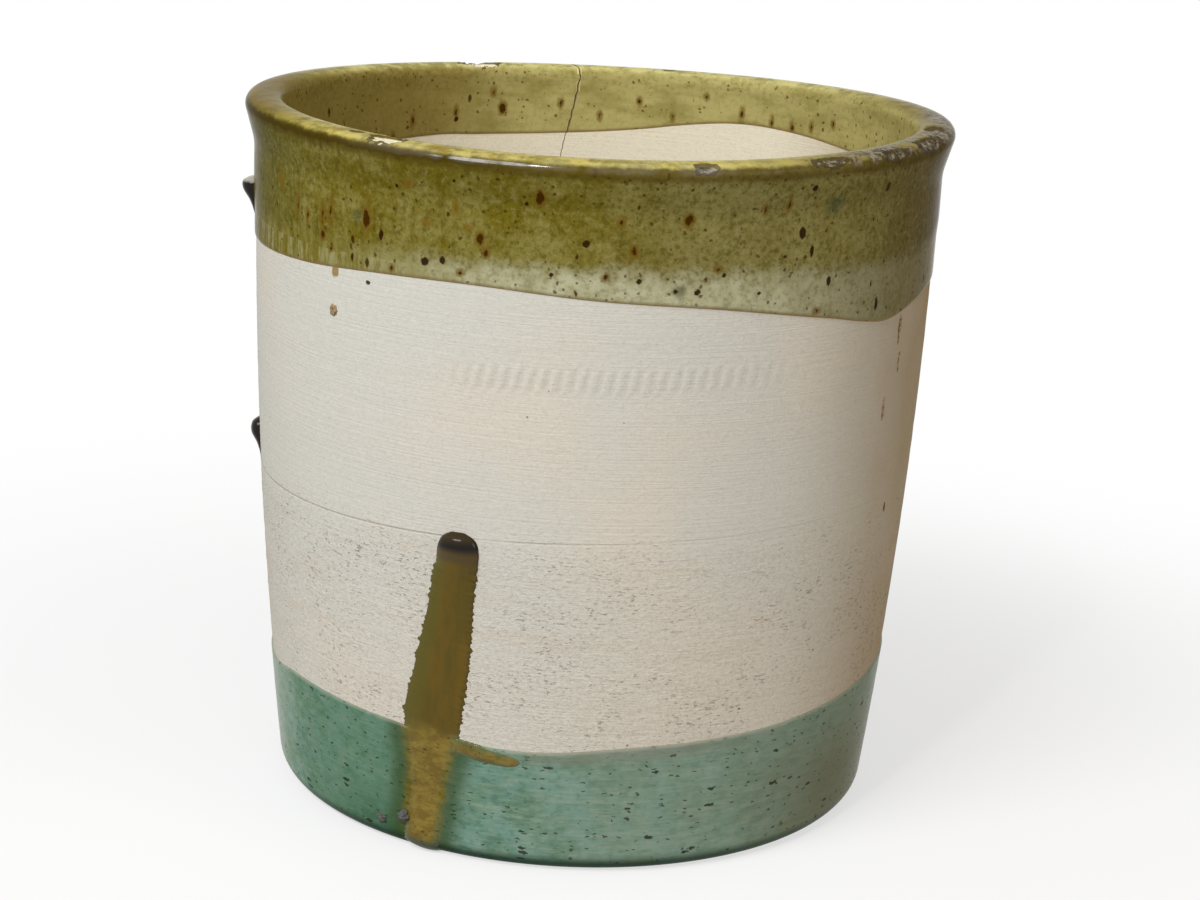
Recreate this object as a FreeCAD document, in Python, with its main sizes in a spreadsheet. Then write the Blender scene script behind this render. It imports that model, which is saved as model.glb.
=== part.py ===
"""Glazed ceramic flower pot: one thrown clay body with its glaze coats, runs, spots and kiln grit.

The pot stands on its foot ring with the origin at the centre of the base and +Z up. Its front faces -Y.
Bearings are degrees round the pot from the front, positive towards +X.
"""
import FreeCAD, Part
import Sketcher
import math
import os
import re

# Lengths are millimetres, bearings are degrees, and a name that ends in share is a share of the height.
SIZES = {
    # Clay wall, floor and foot
    "height": 234,
    "neck_radius": 115.5,
    "neck_drop": 17,
    "foot_radius": 102.6,
    "foot_rounding": 7,
    "wall_bow": 3.2,
    "wall_thickness": 8.4,
    "floor_level": 12,
    "floor_rounding": 14,
    "foot_ring_width": 14,
    "recess_depth": 2.5,
    "drain_radius": 8,
    # Lip
    "lip_overhang": 3.6,
    "lip_edge_rounding": 2.6,
    "lip_crown_radius": 18,
    "mouth_edge_rounding": 3,
    # Rim glaze, whose drops are measured down from the top of the clay lip
    "first_coat": 0.5,
    "first_drop": 52,
    "first_tilt": 9.5,
    "first_bearing": -25,
    "first_inner_drop": 29.4,
    "first_inner_tilt": 11.5,
    "first_inner_bearing": 133.7,
    "second_coat": 0.4,
    "second_drop": 32,
    "second_inner_drop": 10,
    # Foot glaze
    "foot_coat": 0.5,
    "foot_glaze_rise": 50.8,
    "foot_glaze_tilt": 6.8,
    "foot_glaze_bearing": 152.3,
    "foot_glaze_clearance": 0.8,
    # How deep the sections of a run are rooted in the wall
    "run_root": 1.2,
    # Front run and its bead
    "front_foot_share": 0.031,
    "front_foot_bearing": -27,
    "front_foot_width": 19,
    "front_foot_swell": 0.9,
    "front_mid_share": 0.21,
    "front_mid_bearing": -24.2,
    "front_mid_width": 21.5,
    "front_mid_swell": 1.1,
    "front_neck_width": 14.5,
    "front_neck_swell": 1.2,
    "front_bead_share": 0.463,
    "front_bead_bearing": -19.6,
    "front_bead_width": 14.6,
    "front_bead_length": 11.5,
    "front_bead_swell": 3.6,
    # Left run with the high bead
    "high_foot_share": 0.031,
    "high_foot_bearing": -99,
    "high_foot_width": 12,
    "high_foot_swell": 0.9,
    "high_mid_share": 0.45,
    "high_mid_bearing": -93.8,
    "high_mid_width": 11,
    "high_mid_swell": 1,
    "high_neck_width": 8.5,
    "high_neck_swell": 1.8,
    "high_bead_share": 0.876,
    "high_bead_bearing": -87,
    "high_bead_width": 11,
    "high_bead_length": 12,
    "high_bead_swell": 5,
    # Left run with the low bead
    "low_foot_share": 0.031,
    "low_foot_bearing": -90.5,
    "low_foot_width": 11,
    "low_foot_swell": 0.9,
    "low_mid_share": 0.27,
    "low_mid_bearing": -87.3,
    "low_mid_width": 9.5,
    "low_mid_swell": 1,
    "low_neck_width": 8,
    "low_neck_swell": 1.3,
    "low_bead_share": 0.515,
    "low_bead_bearing": -84.3,
    "low_bead_width": 9.5,
    "low_bead_length": 10,
    "low_bead_swell": 3.3,
    # Small drops of glaze on the bare wall
    "round_spot_share": 0.757,
    "round_spot_bearing": -44.5,
    "round_spot_width": 3.6,
    "round_spot_length": 4,
    "round_spot_swell": 1,
    "tall_spot_share": 0.744,
    "tall_spot_bearing": 60.3,
    "tall_spot_width": 2.2,
    "tall_spot_length": 9.4,
    "tall_spot_swell": 0.9,
    "short_spot_share": 0.697,
    "short_spot_bearing": 61.3,
    "short_spot_width": 2,
    "short_spot_length": 6.4,
    "short_spot_swell": 0.8,
    "slim_spot_share": 0.635,
    "slim_spot_bearing": 57.2,
    "slim_spot_width": 1.9,
    "slim_spot_length": 7.4,
    "slim_spot_swell": 0.8,
    # Grains of kiln grit in the foot glaze
    "large_grain_share": 0.051,
    "large_grain_bearing": -30.4,
    "large_grain_width": 4.6,
    "large_grain_length": 3.8,
    "large_grain_swell": 2,
    "small_grain_share": 0.037,
    "small_grain_bearing": -35.6,
    "small_grain_width": 4,
    "small_grain_length": 2.8,
    "small_grain_swell": 1.4,
}

SPOTS = ("round_spot", "tall_spot", "short_spot", "slim_spot")
GRAINS = ("large_grain", "small_grain")

# Formulas in named sizes that several pieces share
NECK_HEIGHT = "(height - neck_drop)"
BOW_RADIUS = f"(((neck_radius - foot_radius)^2 + {NECK_HEIGHT}^2) / (8 * wall_bow) + wall_bow / 2)"
CREST_RADIUS = "(neck_radius + (lip_overhang - wall_thickness) / 2)"
MID_WALL_RADIUS = "(neck_radius - wall_thickness / 2)"

UP = FreeCAD.Vector(0, 0, 1)


def in_cells(formula):
    """The formula with every named size pointed at its cell in the sheet."""
    return re.sub(r"[a-z_]+", lambda word: f"Sizes.{word[0]}" if word[0] in SIZES else word[0], formula)


def make_sheet(doc):
    """Writes the named sizes to a sheet, one aliased cell each."""
    sheet = doc.addObject("Spreadsheet::Sheet", "Sizes")
    for row, (name, value) in enumerate(SIZES.items(), start=1):
        sheet.set(f"A{row}", name)
        sheet.set(f"B{row}", str(value))
        sheet.setAlias(f"B{row}", name)
    doc.recompute()


def make(doc, kind, name, links=None, **formulas):
    """Adds an object with links to other objects and properties bound to formulas in named sizes."""
    item = doc.addObject(kind, name)
    for link, target in (links or {}).items():
        setattr(item, link, target)
    for prop, formula in formulas.items():
        item.setExpression(prop, in_cells(formula))
    return item


def cut(doc, name, base, *tools):
    """The base less each tool in turn; the last cut has the name."""
    for tool in tools[:-1]:
        base = make(doc, "Part::Cut", f"{name}_blank", {"Base": base, "Tool": tool})
    return make(doc, "Part::Cut", name, {"Base": base, "Tool": tools[-1]})


class Drawing:
    """A sketch in (radius, height) whose curves are drawn near their place and held by constraints."""

    def __init__(self, sketch):
        self.sketch = sketch

    def value(self, formula):
        """The present value of a formula in named sizes."""
        return float(self.sketch.evalExpression(in_cells(formula)))

    def point(self, radius, level):
        """A point whose coordinates are formulas in named sizes."""
        return FreeCAD.Vector(self.value(radius), self.value(level), 0)

    def arc(self, centre, start, end, guide=False):
        """Draws the anticlockwise arc from start to end; a guide is no edge of the shape."""
        circle = Part.Circle(centre, UP, (start - centre).Length)
        angles = [math.atan2(point.y - centre.y, point.x - centre.x) for point in (start, end)]
        return self.sketch.addGeometry(Part.ArcOfCircle(circle, *angles), guide)

    def line(self, start, end):
        """Draws a straight line."""
        return self.sketch.addGeometry(Part.LineSegment(start, end), False)

    def hold(self, kind, *places):
        """Adds a constraint that has no size."""
        self.sketch.addConstraint(Sketcher.Constraint(kind, *places))

    def measure(self, kind, *places, by):
        """Adds a constraint whose size is a formula in named sizes."""
        index = self.sketch.addConstraint(Sketcher.Constraint(kind, *places, self.value(by)))
        self.sketch.setExpression(f"Constraints[{index}]", in_cells(by))

    def place(self, curve, end, radius=None, level=None):
        """Measures the radius and level of a curve's start (1), end (2) or centre (3)."""
        if radius:
            self.measure("DistanceX", -1, 1, curve, end, by=radius)
        if level:
            self.measure("DistanceY", -1, 1, curve, end, by=level)


def towards(start, aim, distance):
    """The point at this distance from start on the way to aim."""
    return start + (aim - start).normalize() * distance


def draw_wall(drawing):
    """The outside of the pot from the ground to the neck: a bowed wall with its foot rounded under."""
    foot_point = drawing.point("foot_radius", "0")
    neck_point = drawing.point("neck_radius", NECK_HEIGHT)
    chord = neck_point - foot_point
    outward = FreeCAD.Vector(chord.y, -chord.x, 0).normalize()
    bow_radius = drawing.value(BOW_RADIUS)
    centre = (foot_point + neck_point) / 2 + outward * (drawing.value("wall_bow") - bow_radius)
    rounding = drawing.value("foot_rounding")
    foot_reach = math.sqrt((bow_radius - rounding) ** 2 - (rounding - centre.y) ** 2)
    foot_centre = FreeCAD.Vector(centre.x + foot_reach, rounding, 0)
    base = FreeCAD.Vector(foot_centre.x, 0, 0)
    heel = towards(centre, foot_centre, bow_radius)

    guide = drawing.arc(centre, foot_point, neck_point, guide=True)
    foot = drawing.arc(foot_centre, base, heel)
    wall = drawing.arc(centre, heel, neck_point)
    drawing.place(guide, 1, radius="foot_radius")
    drawing.hold("PointOnObject", guide, 1, -1)
    drawing.place(guide, 2, "neck_radius", NECK_HEIGHT)
    drawing.measure("Radius", guide, by=BOW_RADIUS)
    drawing.hold("Coincident", wall, 3, guide, 3)
    drawing.hold("Coincident", wall, 2, guide, 2)
    drawing.measure("Radius", foot, by="foot_rounding")
    drawing.hold("Tangent", foot, 2, wall, 1)
    drawing.hold("PointOnObject", foot, 1, -1)
    drawing.hold("Vertical", foot, 1, foot, 3)
    return foot, wall, centre


def draw_lip(drawing, wall, centre):
    """The flare, the rolled lip and the inside of the wall, down to the floor's rounding."""
    edge_rounding = drawing.value("lip_edge_rounding")
    mouth_rounding = drawing.value("mouth_edge_rounding")
    crown_radius = drawing.value("lip_crown_radius")
    inner_radius = drawing.value(f"{BOW_RADIUS} - wall_thickness")
    neck_point = drawing.point("neck_radius", NECK_HEIGHT)
    crown_centre = drawing.point(CREST_RADIUS, "height - lip_crown_radius")

    def on_inside(level):
        return FreeCAD.Vector(centre.x + math.sqrt(inner_radius ** 2 - (level - centre.y) ** 2), level, 0)

    def under_crown(radius, rounding):
        reach = crown_radius - rounding
        rise = math.sqrt(reach ** 2 - (radius - crown_centre.x) ** 2)
        return FreeCAD.Vector(radius, crown_centre.y + rise, 0)

    shoulder = on_inside(neck_point.y)
    floor_rounding = on_inside(drawing.value("floor_level + floor_rounding"))
    edge_centre = under_crown(drawing.value("neck_radius + lip_overhang") - edge_rounding, edge_rounding)
    mouth_centre = under_crown(shoulder.x + mouth_rounding, mouth_rounding)
    mouth_point = FreeCAD.Vector(shoulder.x, mouth_centre.y, 0)
    outward = (neck_point - centre).normalize()
    reach = neck_point - edge_centre
    flare_radius = (reach.Length ** 2 - edge_rounding ** 2) / (2 * (edge_rounding - reach.dot(outward)))
    flare_centre = neck_point + outward * flare_radius
    lip_point = towards(edge_centre, flare_centre, edge_rounding)
    crown_start = towards(crown_centre, edge_centre, crown_radius)
    crown_end = towards(crown_centre, mouth_centre, crown_radius)

    flare = drawing.arc(flare_centre, lip_point, neck_point)
    edge = drawing.arc(edge_centre, lip_point, crown_start)
    crown = drawing.arc(crown_centre, crown_start, crown_end)
    mouth = drawing.arc(mouth_centre, crown_end, mouth_point)
    throat = drawing.line(mouth_point, shoulder)
    inside = drawing.arc(centre, floor_rounding, shoulder)
    drawing.hold("Coincident", inside, 3, wall, 3)
    drawing.measure("Radius", inside, by=f"{BOW_RADIUS} - wall_thickness")
    drawing.place(inside, 2, level=NECK_HEIGHT)
    drawing.measure("Radius", crown, by="lip_crown_radius")
    drawing.place(crown, 3, CREST_RADIUS, "height - lip_crown_radius")
    drawing.measure("Radius", edge, by="lip_edge_rounding")
    drawing.place(edge, 3, "neck_radius + lip_overhang - lip_edge_rounding")
    drawing.measure("Radius", mouth, by="mouth_edge_rounding")
    drawing.hold("Coincident", throat, 2, inside, 2)
    drawing.hold("Vertical", throat)
    for first, second in (((wall, 2), (flare, 2)), ((flare, 1), (edge, 1)), ((edge, 2), (crown, 1)),
                          ((crown, 2), (mouth, 1)), ((mouth, 2), (throat, 1))):
        drawing.hold("Tangent", *first, *second)
    return inside


def draw_floor(drawing, foot, inside, centre):
    """The floor's rounding, the floor, and the foot ring with the recess inside it."""
    rounding = drawing.value("floor_rounding")
    level = drawing.value("floor_level")
    recess = drawing.value("recess_depth")
    reach = drawing.value(f"{BOW_RADIUS} - wall_thickness") - rounding
    corner_reach = math.sqrt(reach ** 2 - (level + rounding - centre.y) ** 2)
    corner = FreeCAD.Vector(centre.x + corner_reach, level + rounding, 0)
    floor_edge = FreeCAD.Vector(corner.x, level, 0)
    ring_radius = drawing.sketch.Geometry[foot].StartPoint.x - drawing.value("foot_ring_width")
    axis_top = FreeCAD.Vector(0, level, 0)
    axis_foot = FreeCAD.Vector(0, recess, 0)
    ring_top = FreeCAD.Vector(ring_radius, recess, 0)
    ring_foot = FreeCAD.Vector(ring_radius, 0, 0)

    turn = drawing.arc(corner, floor_edge, towards(centre, corner, reach + rounding))
    floor = drawing.line(floor_edge, axis_top)
    axis = drawing.line(axis_top, axis_foot)
    under = drawing.line(axis_foot, ring_top)
    step = drawing.line(ring_top, ring_foot)
    ring = drawing.line(ring_foot, drawing.sketch.Geometry[foot].StartPoint)
    drawing.hold("Tangent", turn, 2, inside, 1)
    drawing.hold("Tangent", turn, 1, floor, 1)
    drawing.measure("Radius", turn, by="floor_rounding")
    drawing.hold("Horizontal", floor)
    drawing.place(floor, 2, level="floor_level")
    drawing.hold("Coincident", floor, 2, axis, 1)
    drawing.hold("PointOnObject", axis, 1, -2)
    drawing.hold("PointOnObject", axis, 2, -2)
    drawing.place(axis, 2, level="recess_depth")
    drawing.hold("Coincident", axis, 2, under, 1)
    drawing.hold("Horizontal", under)
    drawing.hold("Coincident", under, 2, step, 1)
    drawing.hold("Vertical", step)
    drawing.hold("Coincident", step, 2, ring, 1)
    drawing.hold("PointOnObject", ring, 1, -1)
    drawing.hold("Coincident", ring, 2, foot, 1)
    drawing.measure("DistanceX", ring, 1, ring, 2, by="foot_ring_width")


def body_sketch(body, name, plane):
    """A sketch on one of the body's own origin planes."""
    sketch = body.newObject("Sketcher::SketchObject", name)
    origin = next(item for item in body.Origin.OriginFeatures if item.Role == plane)
    sketch.AttachmentSupport = (origin, [""])
    sketch.MapMode = "FlatFace"
    return sketch


def make_clay_body(doc):
    """The thrown pot: its section revolved round the axis, with a drain hole through the floor."""
    body = doc.addObject("PartDesign::Body", "clay_body")
    section = body_sketch(body, "clay_section", "XZ_Plane")
    drawing = Drawing(section)
    foot, wall, centre = draw_wall(drawing)
    inside = draw_lip(drawing, wall, centre)
    draw_floor(drawing, foot, inside, centre)
    thrown = body.newObject("PartDesign::Revolution", "thrown_pot")
    thrown.Profile = section
    thrown.ReferenceAxis = (section, ["V_Axis"])
    thrown.Angle = 360
    doc.recompute()
    hole = body_sketch(body, "drain_hole_outline", "XY_Plane")
    drain = Drawing(hole)
    rim = hole.addGeometry(Part.Circle(FreeCAD.Vector(), UP, drain.value("drain_radius")), False)
    drain.hold("Coincident", rim, 3, -1, 1)
    drain.measure("Radius", rim, by="drain_radius")
    pocket = body.newObject("PartDesign::Pocket", "drain_hole")
    pocket.Profile = hole
    pocket.Reversed = True
    pocket.setExpression("Length", in_cells("2 * floor_level"))
    doc.recompute()
    if pocket.Shape.Volume >= thrown.Shape.Volume:
        raise RuntimeError("the drain hole cuts nothing")
    return body


def upright_sketch(doc, name):
    """A sketch that stands in the plane through the axis, with its heights along +Z."""
    sketch = doc.addObject("Sketcher::SketchObject", name)
    sketch.Placement = FreeCAD.Placement(FreeCAD.Vector(), FreeCAD.Rotation(FreeCAD.Vector(1, 0, 0), 90))
    return sketch


def lip_line(doc):
    """The clay's surface from the ground up over the lip and down inside, as a line to dip in glaze."""
    sketch = upright_sketch(doc, "lip_line")
    drawing = Drawing(sketch)
    foot, wall, centre = draw_wall(drawing)
    inside = draw_lip(drawing, wall, centre)
    drawing.place(inside, 1, level="floor_level + floor_rounding")
    return sketch


def foot_line(doc):
    """The clay's outer surface from the ground to the neck, as a line to dip in glaze."""
    sketch = upright_sketch(doc, "foot_line")
    draw_wall(Drawing(sketch))
    return sketch


def make_skin(doc, name, line, thickness):
    """A coat of this thickness on the outer side of the line, all round the pot."""
    section = make(doc, "Part::Offset2D", f"{name}_section", {"Source": line, "Mode": "Skin", "Fill": True},
                   Value=f"-({thickness})")
    return make(doc, "Part::Revolution", name, {"Source": section, "Axis": UP, "Angle": 360, "Solid": True})


def below(doc, name, level, tilt="0", bearing="0"):
    """Everything under a plane that crosses the axis at this level and rises by tilt at the bearing."""
    axis = f"vector(-cos({bearing} * 1 deg); -sin({bearing} * 1 deg); 0)"
    turn = f"rotation({axis}; 180 deg + atan(({tilt}) / neck_radius))"
    return make(doc, "Part::Cylinder", name, Radius="2 * neck_radius", Height="2 * height",
                Placement=f"placement(vector(0; 0; {level}); {turn})")


def rim_dip(doc, label, skin, outer, inner, mid_wall):
    """The part of a skin that a dip leaves on the rim, above one plane outside and another inside."""
    outside = cut(doc, f"{label}_outside", below(doc, f"{label}_outer_plane", *outer), mid_wall)
    inside = make(doc, "Part::Common", f"{label}_inside",
                  {"Base": below(doc, f"{label}_inner_plane", *inner), "Tool": mid_wall})
    return cut(doc, label, skin, outside, inside)


def make_rim_glaze(doc):
    """The olive first coat with its slanting edges, and the shorter second coat over it."""
    line = lip_line(doc)
    mid_wall = make(doc, "Part::Cylinder", "mid_wall", Radius=MID_WALL_RADIUS, Height="2 * height")
    first_skin = make_skin(doc, "first_skin", line, "first_coat")
    both_skins = make_skin(doc, "both_skins", line, "first_coat + second_coat")
    second_skin = cut(doc, "second_skin", both_skins, first_skin)
    first = rim_dip(doc, "rim_glaze_first_coat", first_skin,
                    ("height - first_drop", "first_tilt", "first_bearing"),
                    ("height - first_inner_drop", "first_inner_tilt", "first_inner_bearing"), mid_wall)
    second = rim_dip(doc, "rim_glaze_second_coat", second_skin,
                     ("height - second_drop",), ("height - second_inner_drop",), mid_wall)
    return first, second


def make_foot_glaze(doc):
    """The green coat round the foot, clear of the ground, with a slanting upper edge."""
    skin = make_skin(doc, "foot_skin", foot_line(doc), "foot_coat")
    dipped = make(doc, "Part::Common", "foot_dip", {
        "Base": skin,
        "Tool": below(doc, "foot_plane", "foot_glaze_rise", "foot_glaze_tilt", "foot_glaze_bearing"),
    })
    return cut(doc, "foot_glaze", dipped, below(doc, "ground_plane", "foot_glaze_clearance"))


def on_wall(level, bearing, root="0"):
    """The placement of a section or drop at this level and bearing, with its centre this deep in the wall."""
    climb = f"({level} / {NECK_HEIGHT})"
    wall = f"foot_radius + (neck_radius - foot_radius) * {climb} + 4 * wall_bow * {climb} * (1 - {climb})"
    reach = f"({wall} - {root})"
    turn = f"({bearing} * 1 deg)"
    spot = f"vector({reach} * sin({turn}); -{reach} * cos({turn}); {level})"
    return f"placement({spot}; rotation(vector(0; 0; 1); {turn}))"


def make_drop(doc, name):
    """A drop that is half sunk in the wall, with its own width, length and swell."""
    return make(doc, "Part::Ellipsoid", f"{name}_drop",
                Radius1=f"{name}_length / 2", Radius2=f"{name}_width / 2", Radius3=f"{name}_swell",
                Placement=on_wall(f"(height * {name}_share)", f"{name}_bearing"))


def run_section(doc, name, level, bearing):
    """A section of a run: a flat ellipse whose outer part stands out of the wall over its width."""
    depth = f"(run_root + {name}_swell)"
    edge_root = f"(run_root - {name}_width^2 / (8 * neck_radius))"
    return make(doc, "Part::Ellipse", name, MinorRadius=depth,
                MajorRadius=f"{name}_width / 2 / sqrt(1 - ({edge_root} / {depth})^2)",
                Placement=on_wall(level, bearing, "run_root"))


def make_run(doc, label, name, bases):
    """A run of glaze up the wall, lofted from the foot into the bead at its end."""
    sections = [run_section(doc, station, f"(height * {station}_share)", f"{station}_bearing")
                for station in (f"{name}_foot", f"{name}_mid")]
    neck_level = f"(height * {name}_bead_share - {name}_bead_length / 4)"
    sections.append(run_section(doc, f"{name}_neck", neck_level, f"{name}_bead_bearing"))
    stream = make(doc, "Part::Loft", f"{name}_stream", {"Sections": sections, "Solid": True})
    whole = make(doc, "Part::Fuse", f"{name}_whole", {"Base": stream, "Tool": make_drop(doc, f"{name}_bead")})
    return cut(doc, label, whole, *bases)


def make_drops(doc, label, names, bases):
    """A group of separate drops, each cut to what it sits on."""
    drops = [cut(doc, name, make_drop(doc, name), *bases) for name in names]
    return make(doc, "Part::Compound", label, {"Links": drops})


def make_pot(doc):
    """All pieces of the pot, in the order in which they are laid on each other."""
    clay = make_clay_body(doc)
    first, second = make_rim_glaze(doc)
    foot = make_foot_glaze(doc)
    front = make_run(doc, "front_drip", "front", (clay, foot))
    rim_coats = make(doc, "Part::Fuse", "rim_coats", {"Base": first, "Tool": second})
    high = make_run(doc, "left_high_drip", "high", (clay, foot, rim_coats))
    low = make_run(doc, "left_low_drip", "low", (clay, foot))
    spots = make_drops(doc, "wall_glaze_spots", SPOTS, (clay, first))
    grit = make_drops(doc, "kiln_grit", GRAINS, (clay, foot, front))
    doc.recompute()
    return [clay, first, second, foot, front, high, low, spots, grit]


def check(doc, pieces):
    """Stops if any object failed or a piece has no sound solid."""
    for item in doc.Objects:
        if "Invalid" in item.State or "Error" in item.State:
            raise RuntimeError(f"{item.Name} failed: {item.State}")
    for piece in pieces:
        if piece.Shape.isNull() or not piece.Shape.isValid() or not piece.Shape.Solids:
            raise RuntimeError(f"{piece.Label} has no sound solid")


def main():
    doc = FreeCAD.newDocument("FlowerPot")
    make_sheet(doc)
    pieces = make_pot(doc)
    check(doc, pieces)
    os.makedirs("parts", exist_ok=True)
    for piece in pieces:
        piece.Shape.exportStep(f"parts/{piece.Label}.step")
        box = piece.Shape.optimalBoundingBox(False)
        print(f"{piece.Label}: {len(piece.Shape.Solids)} solids, {piece.Shape.Volume / 1000:.2f} cm3, "
              f"z {box.ZMin:.2f} to {box.ZMax:.2f}")


main()
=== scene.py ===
"""Glazed flower pot: a bare thrown wall between an olive rim glaze and a green foot glaze, with amber runs.

The frame's origin is the centre of the base, +Z is up and the front faces -Y. Bearings go round the pot from
the front, positive towards +X. Lengths are metres, and a table says so where it holds millimetres or degrees.
"""
import bisect
import functools
import math

import bmesh
import bpy
from bpy.props import FloatProperty, FloatVectorProperty, IntProperty, PointerProperty
from mathutils import Matrix, Vector, noise


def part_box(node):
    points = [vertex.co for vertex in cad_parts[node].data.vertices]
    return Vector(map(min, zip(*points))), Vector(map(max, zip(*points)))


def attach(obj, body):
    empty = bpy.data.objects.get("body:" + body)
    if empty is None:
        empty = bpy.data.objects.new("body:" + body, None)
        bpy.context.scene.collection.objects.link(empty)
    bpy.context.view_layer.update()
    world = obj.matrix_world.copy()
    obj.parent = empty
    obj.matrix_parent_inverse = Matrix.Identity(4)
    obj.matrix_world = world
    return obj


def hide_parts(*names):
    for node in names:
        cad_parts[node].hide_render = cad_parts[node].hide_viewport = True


bl_info = {
    "name": "Glazed Flower Pot",
    "version": (1, 0, 0),
    "blender": (4, 5, 0),
    "location": "View3D > Sidebar > Flower Pot",
    "description": "Builds a thrown flower pot with its glaze coats, runs, spots and kiln grit",
    "category": "Add Mesh",
}

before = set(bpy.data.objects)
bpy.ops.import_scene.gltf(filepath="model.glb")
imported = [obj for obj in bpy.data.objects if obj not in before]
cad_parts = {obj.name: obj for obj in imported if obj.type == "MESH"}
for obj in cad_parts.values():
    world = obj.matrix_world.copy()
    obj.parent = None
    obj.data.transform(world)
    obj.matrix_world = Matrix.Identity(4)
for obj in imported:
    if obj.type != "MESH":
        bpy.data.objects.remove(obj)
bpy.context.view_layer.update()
CLAY_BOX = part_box("clay_body")
MM = 0.001
TAU = 2 * math.pi
RING_SPACING = 5 * MM
CHATTER_SPACING = 4 * MM
BELLY_LEVEL = 114 * MM
CHIP_REACH = 12
HALVINGS = 24
RUN_MARKS = ("side", "tip", "stain_depth")

# Edges of the glaze coats round the pot: (bearing in degrees, level in millimetres)
RIM_COAT_EDGE = (
    (-180, 184), (-130, 187), (-77, 187.7), (-53, 189.8), (-34, 192.6), (-17, 193.5), (1, 191.6),
    (20, 189.2),
    (40, 183.6), (48, 180.6), (55, 179), (64, 181.2), (72, 183.3), (105, 187), (145, 185),
)
RIM_COAT_INNER_EDGE = (
    (-180, 210.3), (-168, 208.8), (-155, 208.3), (-146, 208.4), (-110, 204), (-46, 196), (20, 199),
    (80, 208),
    (124, 214), (135, 216.1), (146, 217.4), (154, 217), (163, 214.8), (171, 212.3),
)
SECOND_COAT_EDGE = ((-180, 197), (-60, 194.6), (-20, 196.2), (15, 195.8), (50, 194.4), (110, 197))
SECOND_COAT_INNER_EDGE = ((-180, 224), (-90, 222), (0, 224.5), (90, 223))
FOOT_COAT_EDGE = (
    (-165, 55), (-120, 46), (-75, 42.7), (-60, 46.2), (-35, 45.5), (-15, 42.9), (-5, 42.9), (9, 45.3),
    (22, 46.5),
    (39, 47.9), (59, 50.7), (73, 52.5), (110, 56), (150, 57.5),
)

# Marks in the rim glaze: (bearing in degrees, level, width and length in millimetres)
IRON_MARKS = (
    (-31, 221, 1.4, 1.4), (-21, 225, 1, 1), (-34, 205, 1.8, 3.5), (-40, 196, 1.4, 3.5),
    (-26, 199, 2.8, 2.8),
    (-23, 200, 2.1, 2.8), (-10, 220, 1.4, 1.4), (-1, 209, 2.4, 2.4), (-6, 199, 1.4, 1.4),
    (7, 198, 1.8, 1.8),
    (5, 193, 2.1, 0.8), (11, 194, 2.1, 0.8), (16, 195, 2.1, 2.1), (26, 194, 1.4, 1.4), (33, 212, 2.6, 4),
    (34, 226, 2.1, 2.1), (39, 196, 2.1, 3.1), (51, 186, 1.8, 4.5), (49, 193, 1, 2.4), (35, 206, 1.6, 4),
    (30, 205, 1.4, 1), (20, 200, 1.4, 1.4), (12.6, 195.2, 1.8, 1.6), (-122, 205, 2.4, 3),
    (-150, 214, 2, 2), (100, 197, 2.4, 2.4),
    (128, 209, 2.6, 3.4), (165, 199, 2, 2.6), (-175, 206, 2.2, 2.2),
)
RUST_MARKS = (
    (-37, 209, 2.8, 7.3), (-45, 209, 1.4, 6.3), (-47, 207, 1, 5.6), (-51, 206, 1.4, 3.1),
    (-54, 208, 1, 4.9),
    (-47, 201, 2.1, 2.8), (-45, 197, 1.4, 1.8), (-20, 197, 1.8, 1.4), (-32, 195, 1.4, 2.1),
    (-17, 208, 2.4, 4.2),
    (-16, 204, 2.1, 2.8), (-8, 222, 2.8, 4.9), (6, 207, 1.8, 3.1), (4, 216, 1.4, 2.1), (14, 217, 2.8, 3.5),
    (19, 202, 1.8, 1.4), (37, 187, 1.8, 1.4), (2, 199, 1.8, 2.1), (26, 220, 1, 2.1), (30, 221, 1, 2.8),
    (-95, 209, 2, 6), (-135, 207, 1.6, 5), (-160, 218, 2.6, 4), (85, 214, 2.4, 4), (115, 203, 1.6, 5),
    (150, 216, 2.8, 4),
    (172, 222, 1.4, 2.6), (158, 226, 1.8, 2.2), (150, 221.5, 1.4, 3), (143, 219.5, 1.4, 3.6),
    (138, 218.4, 1.6, 3.6),
    (133, 220, 1.4, 2.8), (127, 223, 1.4, 2.4), (-172, 220, 1.4, 2.8), (-158, 224, 1.4, 2.4),
    (-150, 217, 1.6, 3.2),
    (-140, 214, 1.6, 3.4), (165, 217, 1.2, 2.4), (180, 216, 1.4, 2.6),
)
AMBER_MARKS = ((-29, 222, 5.2, 3.6), (-21, 217, 2.6, 5.2), (-26, 211, 4, 2.4), (-19, 211, 3.5, 2.8),
    (-60, 214, 4, 6))
GREEN_MARKS = ((-39, 209, 3.5, 4.2), (39, 220, 7, 6.3), (13, 195, 4.9, 4.2), (-110, 213, 5, 5),
    (140, 205, 6, 6))

# Runs of glaze, from the foot up: (bearing in degrees, level, half width and swell in millimetres)
FRONT_RUN = (
    (-27.3, 1.5, 7.4, 1.9), (-26.9, 7, 7.4, 1.7), (-26.3, 16, 7.7, 0.8), (-25.6, 28, 8.2, 0.75),
    (-24.8, 41, 10.4, 0.9),
    (-24.4, 50, 11.4, 1.1), (-23.2, 61, 10.6, 1.15), (-22.4, 69, 10.2, 1.15), (-21.1, 85, 8.7, 1.2),
    (-20.4, 97, 7.9, 1.5), (-19.8, 104, 7.4, 2.5), (-19.6, 109, 7.2, 3.4), (-19.6, 112.5, 5.6, 3.0),
    (-19.6, 114.4, 2.2, 1.2),
)
FRONT_TONGUE = (
    (-20.5, 41.4, 2.8, 0.9), (-16, 40.0, 2.9, 1.0), (-12.7, 39.0, 2.7, 0.9), (-9.5, 38.5, 2.4, 0.7),
    (-7.4, 38.5, 1.0, 0.3),
)
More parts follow.
